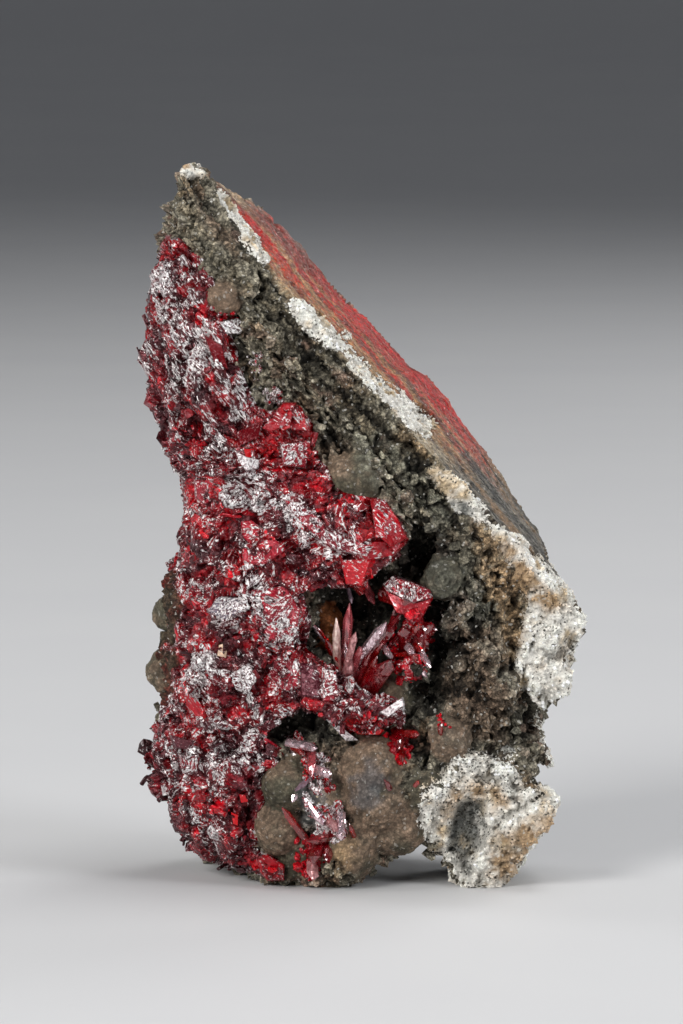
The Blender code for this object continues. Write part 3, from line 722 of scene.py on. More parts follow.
def trimmed(name):
    """A copy of a node's mesh without the parts that lie in the trims."""
    work = new_object(name + "_trim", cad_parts[name].data.copy())
    cutters = []
    for corners in TRIMS:
        rays = [photo_ray(*c) for c in corners]
        near = [eye + way * (PHOTO_DISTANCE - TRIM_REACH) for eye, way in rays]
        far = [eye + way * (PHOTO_DISTANCE + TRIM_REACH) for eye, way in rays]
        sides = len(corners)
        mesh = bpy.data.meshes.new(name + "_cutter")
        made = bmesh.new()
        verts = [made.verts.new(c * MM) for c in near + far]
        made.faces.new(verts[:sides])
        made.faces.new(verts[sides:][::-1])
        for k in range(sides):
            j = (k + 1) % sides
            made.faces.new((verts[j], verts[k], verts[sides + k], verts[sides + j]))
        bmesh.ops.recalc_face_normals(made, faces=made.faces)
        made.to_mesh(mesh)
        made.free()
        cutters.append(new_object(name + "_cutter", mesh))
        step = work.modifiers.new("trim", "BOOLEAN")
        step.operation = "DIFFERENCE"
        step.solver = "EXACT"
        step.object = cutters[-1]
    cut = result_of(work)
    for obj in cutters:
        drop(obj)
    return cut


def ball(centre, radius, seed):
    """A slightly uneven ball, as a mesh."""
    made = bpy.data.meshes.new("ball")
    work = bmesh.new()
    bmesh.ops.create_icosphere(work, subdivisions=4, radius=radius * MM)
    work.to_mesh(made)
    work.free()
    p = points_of(made)
    p *= 1 + 0.07 * waves(p + centre * 3.1, radius * 1.1, seed)[:, None]
    set_points(made, p + centre)
    return made


def paint(mesh, colours, name="paint"):
    """Give each point of the mesh a colour."""
    layer = mesh.color_attributes.new(name, "FLOAT_COLOR", "POINT")
    rgba = np.ones((len(mesh.vertices), 4), np.float32)
    rgba[:, :3] = np.clip(colours, 0, 1)
    layer.data.foreach_set("color", rgba.ravel())


def painted(mesh, name):
    """The colours that the mesh's points were given."""
    flat = np.empty(len(mesh.vertices) * 4, np.float32)
    mesh.color_attributes[name].data.foreach_get("color", flat)
    return flat.reshape(-1, 4)[:, :3]


def mark(mesh, marks):
    """Give each point of the mesh numbers that its material reads, a list for each name."""
    for name, values in marks.items():
        layer = mesh.attributes.new(name, "FLOAT", "POINT")
        layer.data.foreach_set("value", np.asarray(values, np.float32))


def built(name, verts, faces, colours, marks):
    """A mesh from points in mm, with its paint and marks."""
    mesh = bpy.data.meshes.new(name)
    mesh.from_pydata((np.array(verts) * MM).tolist(), [], faces)
    paint(mesh, np.array(colours))
    mark(mesh, marks)
    mesh.update()
    return mesh


def tree_of(mesh):
    """A search tree over a mesh, in metres."""
    verts = [v.co[:] for v in mesh.vertices]
    return BVHTree.FromPolygons(verts, [p.vertices[:] for p in mesh.polygons])


def stack_faces(sides, start, outward):
    """Faces of a solid of three rings of points: its two bands, its last ring and its first."""
    faces = []
    for ring in range(2):
        for i in range(sides):
            j = (i + 1) % sides
            faces.append([ring * sides + k for k in (i, j, j + sides, i + sides)])
    faces.append([2 * sides + i for i in range(sides)])
    faces.append(list(reversed(range(sides))))
    return [[start + c for c in (face if outward else reversed(face))] for face in faces]


def turned_pair(axis, rng):
    """Two directions across each axis, turned at random about it."""
    helper = np.where(np.abs(axis[:, 2:3]) < 0.9, (0.0, 0.0, 1.0), (1.0, 0.0, 0.0))
    side = unit(np.cross(axis, helper))
    other = np.cross(axis, side)
    turn = rng.uniform(0, 2 * math.pi, len(axis))[:, None]
    return side * np.cos(turn) + other * np.sin(turn), other * np.cos(turn) - side * np.sin(turn)


def crystals(name, roots, tips, widths, colours, marks, rng, sides=6, shoulder=(0.5, 0.85),
             blunt=(0.1, 0.6), squash=(0.6, 1.0), slant=0.5, uneven=0.15):
    """One mesh of many prisms with slanted, cut-off points. Every face of a prism is flat."""
    n = len(roots)
    axis = tips - roots
    length = np.linalg.norm(axis, axis=1, keepdims=True)
    axis = axis / length
    across, beside = turned_pair(axis, rng)
    angle = np.arange(sides) * 2 * math.pi / sides + rng.uniform(-uneven, uneven, (n, sides))
    radius = 0.5 * np.asarray(widths)[:, None] * rng.uniform(1 - uneven, 1 + uneven, (n, sides))
    flat = rng.uniform(*squash, (n, 1))
    rx = radius * np.cos(angle)
    ry = radius * np.sin(angle) * flat
    ring = across[:, None] * rx[..., None] + beside[:, None] * ry[..., None]
    lean = rng.uniform(-slant, slant, (n, 2))
    height = length * rng.uniform(*shoulder, (n, 1)) + lean[:, :1] * rx + lean[:, 1:] * ry
    foot = roots[:, None] + ring
    neck = roots[:, None] + ring + axis[:, None] * height[..., None]
    apex = tips[:, None]
    top = apex + (neck - apex) * rng.uniform(*blunt, (n, 1, 1))
    verts = np.stack([foot, neck, top], axis=1).reshape(-1, 3)
    per = 3 * sides
    faces = [face for k in range(n) for face in stack_faces(sides, k * per, True)]
    marks = {key: np.repeat(values, per) for key, values in marks.items()}
    return built(name, verts, faces, np.repeat(colours, per, axis=0), marks)


# ---- materials


class Nodes:
    """A short way to write a material's nodes. Sizes are in mm and relief comes out in metres."""

    def __init__(self, name):
        self.material = bpy.data.materials.new(name)
        self.material.use_nodes = True
        self.tree = self.material.node_tree
        self.shader = self.tree.nodes["Principled BSDF"]
        self.place = self.add("TexCoord", {}).outputs["Object"]

    def fill(self, node, sockets):
        """Set a node's sockets to values, or link them from other nodes."""
        for key, value in sockets.items():
            if isinstance(value, bpy.types.NodeSocket):
                self.tree.links.new(value, node.inputs[key])
            else:
                node.inputs[key].default_value = value

    def add(self, kind, sockets, **settings):
        """A node with some of its settings and sockets filled in."""
        node = self.tree.nodes.new("ShaderNode" + kind)
        for key, value in settings.items():
            setattr(node, key, value)
        self.fill(node, sockets)
        return node

    def surface(self, sockets):
        """Fill in the shader's sockets, and give back the finished material."""
        self.fill(self.shader, sockets)
        return self.material

    def maths(self, operation, *values, clamp=False):
        """Values joined one after another by Math nodes."""
        total = values[0]
        for value in values[1:]:
            node = self.add("Math", {0: total, 1: value}, operation=operation, use_clamp=clamp)
            total = node.outputs[0]
        return total

    def plus(self, *values):
        """The sum of values."""
        return self.maths("ADD", *values)

    def times(self, *values):
        """The product of values."""
        return self.maths("MULTIPLY", *values)

    def rest(self, value):
        """What is left of 1."""
        return self.maths("SUBTRACT", 1.0, value)

    def vector(self, operation, a, b=(0.0, 0.0, 0.0)):
        """A Vector Math node's result."""
        node = self.add("VectorMath", {0: a, 1: b}, operation=operation)
        return node.outputs["Value" if operation == "DOT_PRODUCT" else "Vector"]

    def scaled(self, vector, factor):
        """A vector or colour times a number."""
        return self.add("VectorMath", {0: vector, "Scale": factor}, operation="SCALE").outputs[0]

    def noise(self, size, detail=3.0, roughness=0.6, place=None):
        """Noise with features as wide as size, from 0 to 1."""
        sockets = {"Vector": place or self.place, "Scale": 1 / (size * MM), "Detail": detail}
        return self.add("TexNoise", {**sockets, "Roughness": roughness}).outputs["Fac"]

    def cells(self, size, place):
        """Cells as wide as size: each place's distance, random numbers and nearest middle."""
        return self.add("TexVoronoi", {"Vector": place, "Scale": 1 / (size * MM)}).outputs

    def channels(self, colour):
        """The three numbers in a colour."""
        return self.add("SeparateColor", {"Color": colour}).outputs

    def spans(self, value, low, high, to_low=0.0, to_high=1.0):
        """Map a value from one range to another, held at both ends."""
        ends = {"From Min": low, "From Max": high, "To Min": to_low, "To Max": to_high}
        return self.add("MapRange", {"Value": value, **ends}).outputs["Result"]

    def mix(self, share, a, b, way="MIX"):
        """Mix two colours."""
        sockets = {"Factor": share, "A": a, "B": b}
        return self.add("Mix", sockets, data_type="RGBA", blend_type=way).outputs["Result"]

    def attribute(self, name, output="Fac"):
        """A number or colour stored on the mesh."""
        return self.add("Attribute", {}, attribute_name=name).outputs[output]

    def facet_cells(self, size, slope, place=None):
        """Flat tilted faces as wide as size: place in the face, its random numbers, its height."""
        place = place or self.place
        cell = self.cells(size, place)
        local = self.vector("SUBTRACT", place, cell["Position"])
        tilt = self.vector("SUBTRACT", cell["Color"], HALF)
        return local, cell["Color"], self.times(self.vector("DOT_PRODUCT", local, tilt), slope)

    def facets(self, size, slope, place=None):
        """The height of flat tilted faces as wide as size."""
        return self.facet_cells(size, slope, place)[2]

    def bump(self, height, strength=1.0, **normal):
        """A Bump node's normal, on top of another normal if one is given."""
        sockets = {"Height": height, "Strength": strength, "Distance": 1.0, **normal}
        return self.add("Bump", sockets).outputs["Normal"]


def rock_material():
    """Granular rock: its paint broken into grains with painted shade in the gaps, painted glints,
    and peppered where white.
    """
    m = Nodes("vein_rock_look")
    grit = m.attribute("grit")
    warp = m.add("TexNoise", {"Vector": m.place, "Scale": 1 / (ROCK_WARP * MM)}).outputs["Color"]
    bent = m.vector("ADD", m.place, m.scaled(warp, 0.35 * MM))
    coarse = m.cells(COARSE_GRAIN, bent)
    small = m.cells(SMALL_GRAIN, bent)
    big = m.channels(coarse["Color"])
    little = m.channels(small["Color"])
    fine = m.noise(0.14, 3.0, 0.7)
    spread = m.plus(m.spans(little[0], 0.0, 1.0, -0.42, 0.42), m.attribute("sugar"))
    white = m.spans(m.plus(spread, m.spans(big[1], 0.0, 1.0, -0.1, 0.1)), 0.48, 0.52)
    base = m.mix(white, m.attribute("paint", "Color"), m.attribute("calcite", "Color"))

    # The grains' tone varies at random, and painted shade darkens each grain towards its edge, in
    # the gaps between grains.
    tone = m.times(
        m.spans(big[0], 0.0, 1.0, 0.6, 1.45),
        m.spans(little[0], 0.0, 1.0, 0.55, 1.5),
        m.spans(coarse["Distance"], 0.45, 0.7, 1.0, 0.5),
        m.spans(small["Distance"], 0.45, 0.72, 1.0, 0.5),
        m.spans(fine, 0.3, 0.7, 0.72, 1.25),
    )
    even = m.spans(fine, 0.3, 0.7, 0.88, 1.1)
    amount = m.times(grit, m.rest(m.times(white, 0.75)))
    tone = m.plus(m.times(tone, amount), m.times(even, m.rest(amount)))

    cloud = m.spans(m.noise(1.6), 0.35, 0.65, -0.10, 0.10)
    dots = m.spans(m.plus(little[1], cloud, m.attribute("pepper")), 0.88, 0.91)
    pepper = m.times(dots, m.spans(small["Distance"], 0.42, 0.62, 1.0, 0.0), white, 0.9)
    # Painted glint: a few grains turned pale in the base colour itself, standing in for light
    # caught on them.
    painted_glint = m.times(m.spans(little[2], 0.965, 0.975), m.spans(grit, 0.5, 0.9), 0.6)
    colour = m.mix(pepper, m.scaled(base, tone), (0.045, 0.043, 0.034, 1))

    chips = m.plus(m.facets(0.7, 1.0, bent), m.facets(0.3, 0.9, bent), m.times(fine, 0.16 * MM))
    rough_normal = m.bump(chips, m.times(grit, 0.95))
    return m.surface({
        "Base Color": m.mix(painted_glint, colour, (0.62, 0.6, 0.55, 1)),
        "Roughness": m.maths("SUBTRACT", m.attribute("matt"), m.times(little[2], 0.16)),
        "IOR": 1.3,
        "Normal": m.bump(m.facets(0.3, 0.9), m.times(white, 0.55), Normal=rough_normal),
    })


def grain_material():
    """Small grains of calcite and rock: their own colour, glassy cleavage faces."""
    m = Nodes("grain_look")
    fine = m.noise(0.16)
    shades = m.mix(m.spans(fine, 0.3, 0.7), (0.6, 0.6, 0.6, 1), (1.2, 1.2, 1.2, 1))
    return m.surface({
        "Base Color": m.mix(1.0, m.attribute("paint", "Color"), shades, "MULTIPLY"),
        "Roughness": m.spans(m.noise(0.6), 0.3, 0.7, 0.45, 0.75),
        "IOR": 1.5,
        "Normal": m.bump(m.times(fine, 0.12 * MM), 0.8),
    })


def crust_material():
    """Proustite crust: crimson and glossy, small striated faces with silvery, etched skins whose
    near-white colour is partly a painted highlight.
    """
    m = Nodes("proustite_crust_look")
    etch = m.attribute("etch")
    combing = m.attribute("comb")
    local, draw, height = m.facet_cells(2.1, 0.9)
    split = m.channels(draw)
    own_way = m.scaled(m.vector("NORMALIZE", m.vector("SUBTRACT", draw, HALF)), m.rest(combing))
    comb = m.vector("NORMALIZE", m.vector("ADD", own_way, m.scaled(tuple(COMB), combing)))
    along = m.times(m.vector("DOT_PRODUCT", local, comb), -0.82)
    place = m.vector("ADD", m.vector("ADD", local, m.scaled(comb, along)), m.scaled(draw, 0.05))
    streak = m.noise(0.3, 4.0, 0.65, place)
    hair = m.noise(0.2, place=m.vector("ADD", place, (0.02, 0.0, 0.01)))

    share = m.plus(
        m.times(streak, 0.7),
        m.times(m.noise(0.8), 0.3),
        m.times(m.attribute("silver"), 0.17),
        m.spans(split[1], 0.0, 1.0, -0.05, 0.05),
    )
    skin = m.spans(share, 0.595, 0.635)
    metal = m.maths("MULTIPLY", skin, m.spans(etch, 0.0, 0.5), clamp=True)
    # Colour of the silvery skin, streaked from dark to near white: its near-white part is a painted
    # highlight, beside the rendered metallic reflection.
    skin_with_painted_highlight = m.mix(m.spans(hair, 0.41, 0.56), (0.06, 0.02, 0.025, 1), (0.97, 0.97, 0.96, 1))
    tone = m.times(m.spans(streak, 0.34, 0.6, 0.25, 1.35), m.spans(split[0], 0.0, 1.0, 0.45, 1.45))
    tone = m.plus(m.times(tone, etch), m.rest(etch))
    red = m.scaled(m.attribute("paint", "Color"), tone)
    gloss = m.plus(m.spans(split[2], 0.0, 1.0, 0.09, 0.24), m.times(metal, 0.12))
    relief = m.plus(height, m.facets(0.85, 0.75), m.facets(0.32, 0.6), m.times(streak, 0.2 * MM))
    return m.surface({
        "Base Color": m.mix(m.times(metal, 0.96), red, skin_with_painted_highlight),
        "Metallic": m.times(metal, 0.45),
        "Transmission Weight": m.attribute("clear"),
        "Roughness": m.plus(gloss, m.spans(etch, 0.1, 0.25, 0.55, 0.0)),
        "IOR": 1.75,
        "Specular Tint": (1.0, 0.45, 0.5, 1),
        "Normal": m.bump(relief, m.plus(0.08, m.times(etch, 0.85))),
    })


def crystal_material():
    """Free proustite crystals: red glass under bright striated faces."""
    m = Nodes("proustite_crystal_look")
    cloud = m.spans(m.noise(0.5, 4.0, 0.7), 0.3, 0.7)
    clouds = m.mix(cloud, (0.7, 0.55, 0.55, 1), (1.2, 1.1, 1.1, 1))
    streak = m.noise(0.25, place=m.vector("MULTIPLY", m.place, (1.0, 1.0, 0.14)))
    lines = m.mix(m.spans(streak, 0.35, 0.62), (0.5, 0.35, 0.37, 1), (1.3, 1.2, 1.2, 1))
    colour = m.mix(1.0, m.attribute("paint", "Color"), clouds, "MULTIPLY")
    return m.surface({
        "Base Color": m.mix(1.0, colour, lines, "MULTIPLY"),
        "Metallic": m.times(m.attribute("silver"), m.spans(streak, 0.35, 0.5)),
        "Transmission Weight": m.attribute("clear"),
        "Roughness": m.spans(m.noise(0.3, 2.0), 0.35, 0.65, 0.04, 0.16),
        "IOR": 2.0,
        "Normal": m.bump(m.facets(0.4, 0.5), 0.5),
    })


# ---- the rock


def near_nodule(points):
    """How close each point is to the skin of a nodule, from 0 to 1, and which nodule it is."""
    best = np.full(len(points), FAR)
    which = np.zeros(len(points), int)
    for i in BARE_NODULES:
        x, y, z, r = NODULES[i]
        gap = np.abs(np.linalg.norm(points - (x, y, z) - SHIFT, axis=1) - r)
        closer = gap < best
        best = np.where(closer, gap, best)
        which[closer] = i
    return fade(0.2, 0.5, best + 0.18 * rough(points, 1.6, 19, 3, 0.6)), which


def in_cavity(points):
    """1 deep in a hollow of the rock, 0 outside."""
    share = np.zeros(len(points))
    for x, y, z, r in CAVITIES:
        gap = np.linalg.norm(points - (x, y, z) - SHIFT, axis=1) / r
        share = np.maximum(share, fade(0.85, 1.25, gap))
    return share


def plane_depth(p):
    """How far each point lies below the slickensided plane, in mm."""
    return SLAB_DISTANCE - (p - SHIFT) @ SLAB_NORMAL


def drawn_out(p, share):
    """Places in which even noise comes out drawn down the plane, by a share from 0 to 1."""
    return p - share * ((p - SHIFT) @ SLAB_DOWN)[:, None] * SLAB_DOWN


def plane_reach(places):
    """How far across the plane each photo place lies: 0 at its front edge, 1 at its back edge."""
    front = np.interp(places[:, 1], *PLANE_FRONT.T)
    back = np.interp(places[:, 1], *PLANE_BACK.T)
    return (places[:, 0] - front) / np.maximum(back - front, 8.0)


def plane_lift(p):
    """How far each point near the plane moves out with it, in mm."""
    places = to_photo(p)
    amount = np.interp(places[:, 1] - 5, *PLANE_LIFT.T)
    return amount * blend(0.05, 0.7, plane_reach(places)) * fade(1.0, 7.0, plane_depth(p))


def rock_zones(p, n):
    """What each point of the rock is made of, as shares from 0 to 1."""
    x, y, z = p.T
    places = to_photo(p)
    down = places[:, 1]
    deep = plane_depth(p)
    turned = n @ SLAB_NORMAL
    seen = blend(0.0, 0.15, -(n @ AHEAD)) * fade(4.0, 8.0, y)
    front = seen * fade(0.5, 0.8, turned)
    ragged = rough(p, 2.0, 11, 4, 0.65) * 6

    slab = fade(0.35, 0.9, deep) * np.maximum(blend(0.75, 0.9, turned), blend(0.2, 0.5, -deep))
    past_edge = places[:, 0] - np.interp(down, *PLANE_FRONT.T) + 0.4 * ragged
    slab = slab * np.maximum(blend(-5, 1, past_edge), blend(285, 320, down))

    back = blend(3.0, 7.0, y + rough(p, 3, 22)) * (1 - slab)
    vein = blend(0.6, 1.6, deep + rough(p, 5, 21) * 1.2)
    vein = vein * fade(2.6, 4.4, deep + rough(p, 4, 23) * 1.6)
    vein = vein * blend(0.1, 0.35, rough(p, 7, 25, 3))
    foot_front = blend(7.5, 10, x) * fade(10.5, 12.5, z) * fade(2.0, 7.0, y)
    foot_side = blend(13, 17, x) * fade(10.5, 13, z)
    shoulder = blend(19, 22, x + rough(p, 5, 27))
    spread = np.maximum(blend(-0.45, 0.0, rough(p, 4, 29)), fade(-2.0, 4.0, y))
    sides = np.maximum.reduce([foot_front, foot_side, shoulder]) * (1 - front) * (1 - slab) * spread

    zones = {"front": front, "cavity": in_cavity(p)}
    for name, (wander, soft, polygons) in ROCK_ZONES.items():
        zones[name] = zone(places, polygons, ragged * wander, soft) * front
    band = ragged * np.where(down < 285, 0.3, 0.75) + 5 * slab * rough(p, 4.5, 13, 3)
    bands = zone(places, WHITE_ZONES, band, 1.6) * seen
    zones["white"] = np.maximum.reduce([bands, 0.9 * back * vein, sides, zones["foot"]])
    zones["slab"] = slab * (1 - zones["white"])
    return zones


def sheared(p):
    """Places in which the rock's plates are even; near the plane they are drawn out along it."""
    drawn = 0.7 * fade(4.0, 9.0, plane_depth(p))
    return drawn_out(p, drawn[:, None]) + 0.6 * rough(p, 2, 31)[:, None]


def rock_relief(p, zones, nodule):
    """How far each point of the rock moves out along its normal, in mm."""
    bent = sheared(p)
    first, second, _, draw = cells(bent, *PLATES)
    plates = 0.6 * facets(bent, *PLATES) - 0.45 * fade(0.0, 0.16, second - first)
    holes = -fade(0.15, 0.4, first) * blend(0.62, 0.72, draw[:, 2])
    round_parts = blend(0.0, 0.35, rough(p, 6, 34, 2))
    near, next_near, _, _ = cells(bent, 1.5, 35)
    lumps = round_parts * (0.3 * dome(near, 0.8) - 0.25 * fade(0.0, 0.2, next_near - near))
    chips = 0.34 * facets(bent, 1.15, 36, 0.6) + 0.2 * facets(bent, 0.7, 38, 0.6)
    chips = (1 - 0.6 * round_parts) * chips
    grit = 0.16 * rough(p, 1.0, 37, 3, 0.7)
    broken = 0.8 * facets(bent, 5.0, 39) * (1 - 0.6 * zones["front"])
    matrix = (1 - nodule) * (1 - zones["slab"]) * (1 - 0.75 * zones["white"])
    move = matrix * (plates + lumps + chips + holes + grit + broken - 0.1)

    steps = 0.45 * facets(p + 0.5 * rough(p, 1.5, 46)[:, None], 3.4, 45)
    steps = steps + 0.2 * facets(p, 0.9, 47) + 0.22 * rough(p, 1.0, 49, 2, 0.7)
    move += zones["white"] * steps

    combed = drawn_out(p, 0.9)
    ledges = 0.3 * np.clip(rough(combed, 4.5, 53, 2), -0.3, 0.6)
    grooves = 0.14 * rough(combed, 1.2, 51, 3, 0.7) + 0.1 * rough(p, 0.8, 52, 2)
    places = to_photo(p)
    crumbly = fade(270, 310, places[:, 1]) * blend(0.5, 0.8, plane_reach(places))
    crumbs = crumbly * (0.7 * bubbles(p, 1.9, 60) - 0.1)
    move += zones["slab"] * (grooves + ledges + crumbs)

    skin = 0.22 * rough(p, 1.6, 55, 4, 0.75) + 0.12 * facets(p, 3.0, 56, 0.3)
    move += nodule * (skin + 0.2 * bubbles(p, 1.9, 58) - 0.1)
    x, y, z, r = NODULES[SHELL_NODULE]
    away = p - SHIFT - (x, y, z)
    on_shell = nodule * (np.abs(np.linalg.norm(away, axis=1) - r) < 0.6)
    ring = np.linalg.norm(away[:, (0, 2)], axis=1) + 0.3 * rough(p, 1.5, 57)
    return move + on_shell * 0.28 * np.sin(ring * 2 * math.pi / SHELL_RING)


def dented(p, front):
    """The points of the rock pushed in where the front has its dents."""
    places = to_photo(p)
    ragged = rough(p, 1.8, 59, 3, 0.6) * 3
    push = np.zeros(len(p))
    for amount, soft, corners in DENTS:
        push += amount * blend(-soft, soft, inside(places, corners) + ragged)
    return p + (push * front)[:, None] * AHEAD


def nodule_colours(p, which):
    """The skin of the nodules, olive to tan, scuffed and speckled."""
    tint = hashed(np.stack([which, which * 7, which * 13], axis=1), 5)
    scuffs = blend(-0.1, 0.7, rough(p, 1.2, 68, 4, 0.75))
    return layered(
        OLIVE,
        (TAN, blend(0.3, 0.9, tint[:, 0] + 0.45 * rough(p, 2.2, 67, 3))),
        (shade(48, 44, 38), np.clip(0.2 * tint[:, 1] + 0.45 * scuffs, 0, 1)),
        (shade(132, 112, 92), blend(0.3, 0.9, rough(p, 1.0, 70, 3, 0.7)) * 0.5),
    )


def rock_colours(p, zones, nodule, which, move):
    """The colour of each point of the rock, with painted shade in hollows and a painted highlight
    on ridges.
    """
    broad = rough(p, 6, 61, 3)
    close = rough(p, 1.1, 63, 3, 0.75)
    draw = cells(sheared(p), *PLATES)[3]
    browns = mixed(shade(134, 106, 78), shade(126, 92, 80), blend(-0.3, 0.3, rough(p, 5, 66)))
    brown = blend(0.05, 0.6, rough(p, 4, 65, 3) + 0.8 * (draw[:, 2] - 0.5))
    shear = fade(3.0, 8.0, plane_depth(p)) * zones["front"]
    shear = shear * blend(-0.2, 0.5, rough(drawn_out(p, 0.8), 1.4, 69, 3, 0.7))
    return layered(
        MATRIX,
        (MATRIX_DARK, blend(-0.2, 0.8, broad * 0.4 + close * 0.5 + 0.9 * (draw[:, 1] - 0.4))),
        (MATRIX_PALE, blend(0.3, 0.9, -close + broad * 0.4 + draw[:, 0] - 0.5) * 0.6),
        (browns, brown * 0.6),
        (shade(138, 124, 100), shear * 0.6),
        (nodule_colours(p, which), nodule * 0.95),
        (shade(104, 106, 96), zones["grey"] * 0.35),
        (shade(158, 158, 140), zones["pale"] * 0.55 * blend(-0.7, 0.2, close)),
        (mixed(TAN, MATRIX_DARK, blend(0.0, 0.7, close) * 0.5), zones["tan"] * 0.8),
        (BLUE_GREY, zones["blue"] * 0.55),
        (OCHRE, zones["ochre"] * 0.8 * blend(-0.7, 0.2, close + 0.2)),
        # Painted shade where the relief sinks in, and a painted highlight where it stands out
        (shade(30, 27, 23), blend(-0.25, -1.0, move) * 0.75 * (1 - nodule)),
        (MATRIX_PALE, blend(0.25, 0.8, move) * 0.35 * (1 - nodule)),
        (slab_colours(p), zones["slab"]),
        # Painted shade deep in the hollows
        (shade(22, 20, 17), zones["cavity"] * (1 - 0.75 * nodule) * 0.85),
        (AMBER, nodule * np.isin(which, AMBER_NODULES) * 0.75),
    )


def calcite_colours(p, zones, move):
    """The colour that each point of the rock has where it is calcite, with painted shade where the
    relief sinks in.
    """
    stain = zones["ochre"] * 0.95 * blend(-0.7, 0.0, rough(p, 2.2, 73, 3))
    return layered(
        CREAM,
        (WHITE, blend(-0.6, -0.1, rough(p, 3.2, 71, 3))),
        (OCHRE, np.maximum(stain, 0.3 * blend(0.35, 0.8, rough(p, 2.8, 75, 3)))),
        (shade(104, 106, 102), zones["grey"] * 0.9 * blend(-0.7, 0.1, rough(p, 1.5, 77, 3))),
        # Painted shade where the relief sinks in
        (shade(110, 100, 84), blend(-0.3, -0.8, move) * 0.5),
    )


def slab_colours(p):
    """The plane: tan and ochre by its front edge, red film further back, dark and grey below."""
    places = to_photo(p)
    down = places[:, 1]
    combed = drawn_out(p, 0.93) + 0.7 * rough(p, 7, 87)[:, None]
    streak = rough(combed, 1.3, 81, 4, 0.75)
    wide = rough(combed, 3.4, 83, 3)
    spots = rough(p, 1.0, 85, 3, 0.75)
    top = fade(235, 320, down + 25 * wide)
    tip = fade(192, 222, down + 15 * wide)
    reach = plane_reach(places) + 0.16 * wide + 0.14 * spots
    across = reach + 0.45 * top
    inner = blend(0.25, 0.4, reach) * fade(0.6, 0.85, reach)
    stripes = blend(0.1, 0.25, rough(combed, 2.0, 89, 2) + 0.2 * spots) * inner
    dark = blend(0.05, 0.35, streak + 0.35 * spots) * (1 - 0.4 * blend(0.6, 0.85, across))
    dusty = blend(0.1, 0.5, spots + 0.5 * streak) * blend(0.5, 0.7, across)
    worn = mixed(shade(112, 92, 82), shade(150, 66, 58), blend(-0.3, 0.3, streak))
    crumbs = mixed(shade(92, 72, 54), shade(166, 146, 118), blend(-0.3, 0.3, streak + 0.3 * spots))
    lower = down + 30 * wide + 25 * streak - 8 * blend(0.6, 0.9, across)
    grey = mixed(shade(112, 106, 94), shade(44, 40, 34), blend(-0.35, 0.35, spots + streak))
    return layered(
        shade(192, 176, 148),
        (shade(172, 132, 90), blend(0.0, 0.2, across + 0.15 * streak)),
        (shade(190, 62, 38), blend(0.22, 0.5, across + 0.3 * streak)),
        (shade(192, 10, 16), blend(0.5, 0.78, across - 0.12 * top + 0.12 * spots)),
        (shade(172, 138, 96), stripes * 0.85),
        (shade(74, 52, 38), dark * 0.8),
        (shade(150, 128, 98), blend(0.35, 0.7, -streak - 0.3 * spots) * 0.5),
        (shade(128, 66, 56), dusty * 0.6),
        (worn, top * blend(0.5, 0.78, reach) * 0.85),
        (crumbs, tip * 0.9),
        (mixed(grey, shade(146, 112, 76), blend(0.1, 0.5, wide - 0.4 * streak) * 0.7),
         blend(415, 480, lower)),
    )


def build_rock():
    """The vein rock and the grains on it."""
    sources = [trimmed("rock")]
    for i, (x, y, z, r) in enumerate(NODULES):
        sources.append(ball(np.array((x, y, z)) + SHIFT, r, 100 + i))
    mesh = remeshed("rock_body", sources, ROCK_VOXEL)
    set_points(mesh, relaxed(mesh, 2))
    p = points_of(mesh)
    n = normals_of(mesh)
    nodule, which = near_nodule(p)
    zones = rock_zones(p, n)
    nodule = nodule * (1 - zones["slab"])
    move = rock_relief(p, zones, nodule)
    move = np.where(p[:, 2] < 0.5, np.minimum(move, 0.0), move)
    on_plane = plane_depth(p) < 1.5
    move = np.where(on_plane, np.minimum(move, 0.2 + 0.7 * (to_photo(p)[:, 1] < 310)), move)
    grainy = (1 - 0.85 * nodule) * (1 - 0.6 * zones["slab"])
    crumbs = np.random.default_rng(3).normal(0, CRUMB, len(p)) * grainy
    shaped = p + n * (move + crumbs)[:, None] + plane_lift(p)[:, None] * SLAB_NORMAL
    shaped = dented(shaped, zones["front"])
    shaped[:, 2] = np.maximum(shaped[:, 2], 0.0)
    set_points(mesh, shaped)

    # Painted shade in the hollows and a painted highlight on the ridges, from how deep each point
    # lies below its surroundings; it darkens the paint and, more weakly, the calcite colour.
    hollow = hollowness(mesh)
    shadow = (1 - 0.55 * blend(0.05, 0.5, hollow)) * (1 + 0.25 * blend(-0.05, -0.3, hollow))
    foot_top = blend(9.0, 12.0, p[:, 2]) * zones["foot"]
    foot_rim = zones["foot"] * (1 - zones["foot"])
    pepper = 0.3 * zones["grey"] + 0.3 * foot_top + 0.5 * foot_rim + 0.1 * rough(p, 3.0, 79, 2)
    paint(mesh, rock_colours(shaped, zones, nodule, which, move) * shadow[:, None])
    paint(mesh, calcite_colours(shaped, zones, move) * (0.4 + 0.6 * shadow)[:, None], "calcite")
    mark(mesh, {
        "grit": np.clip(1 - 0.35 * nodule - 0.35 * zones["slab"], 0, 1),
        "sugar": zones["white"],
        "pepper": pepper,
        "matt": MATT - 0.15 * nodule - 0.3 * zones["slab"] - 0.2 * zones["white"],
    })
    mesh.polygons.foreach_set("use_smooth", nodule[quads_of(mesh)].mean(axis=1) > 0.5)
    add_piece("rock_body", mesh, rock_material(), "rock")
    add_grains(mesh, zones, nodule)
    return mesh


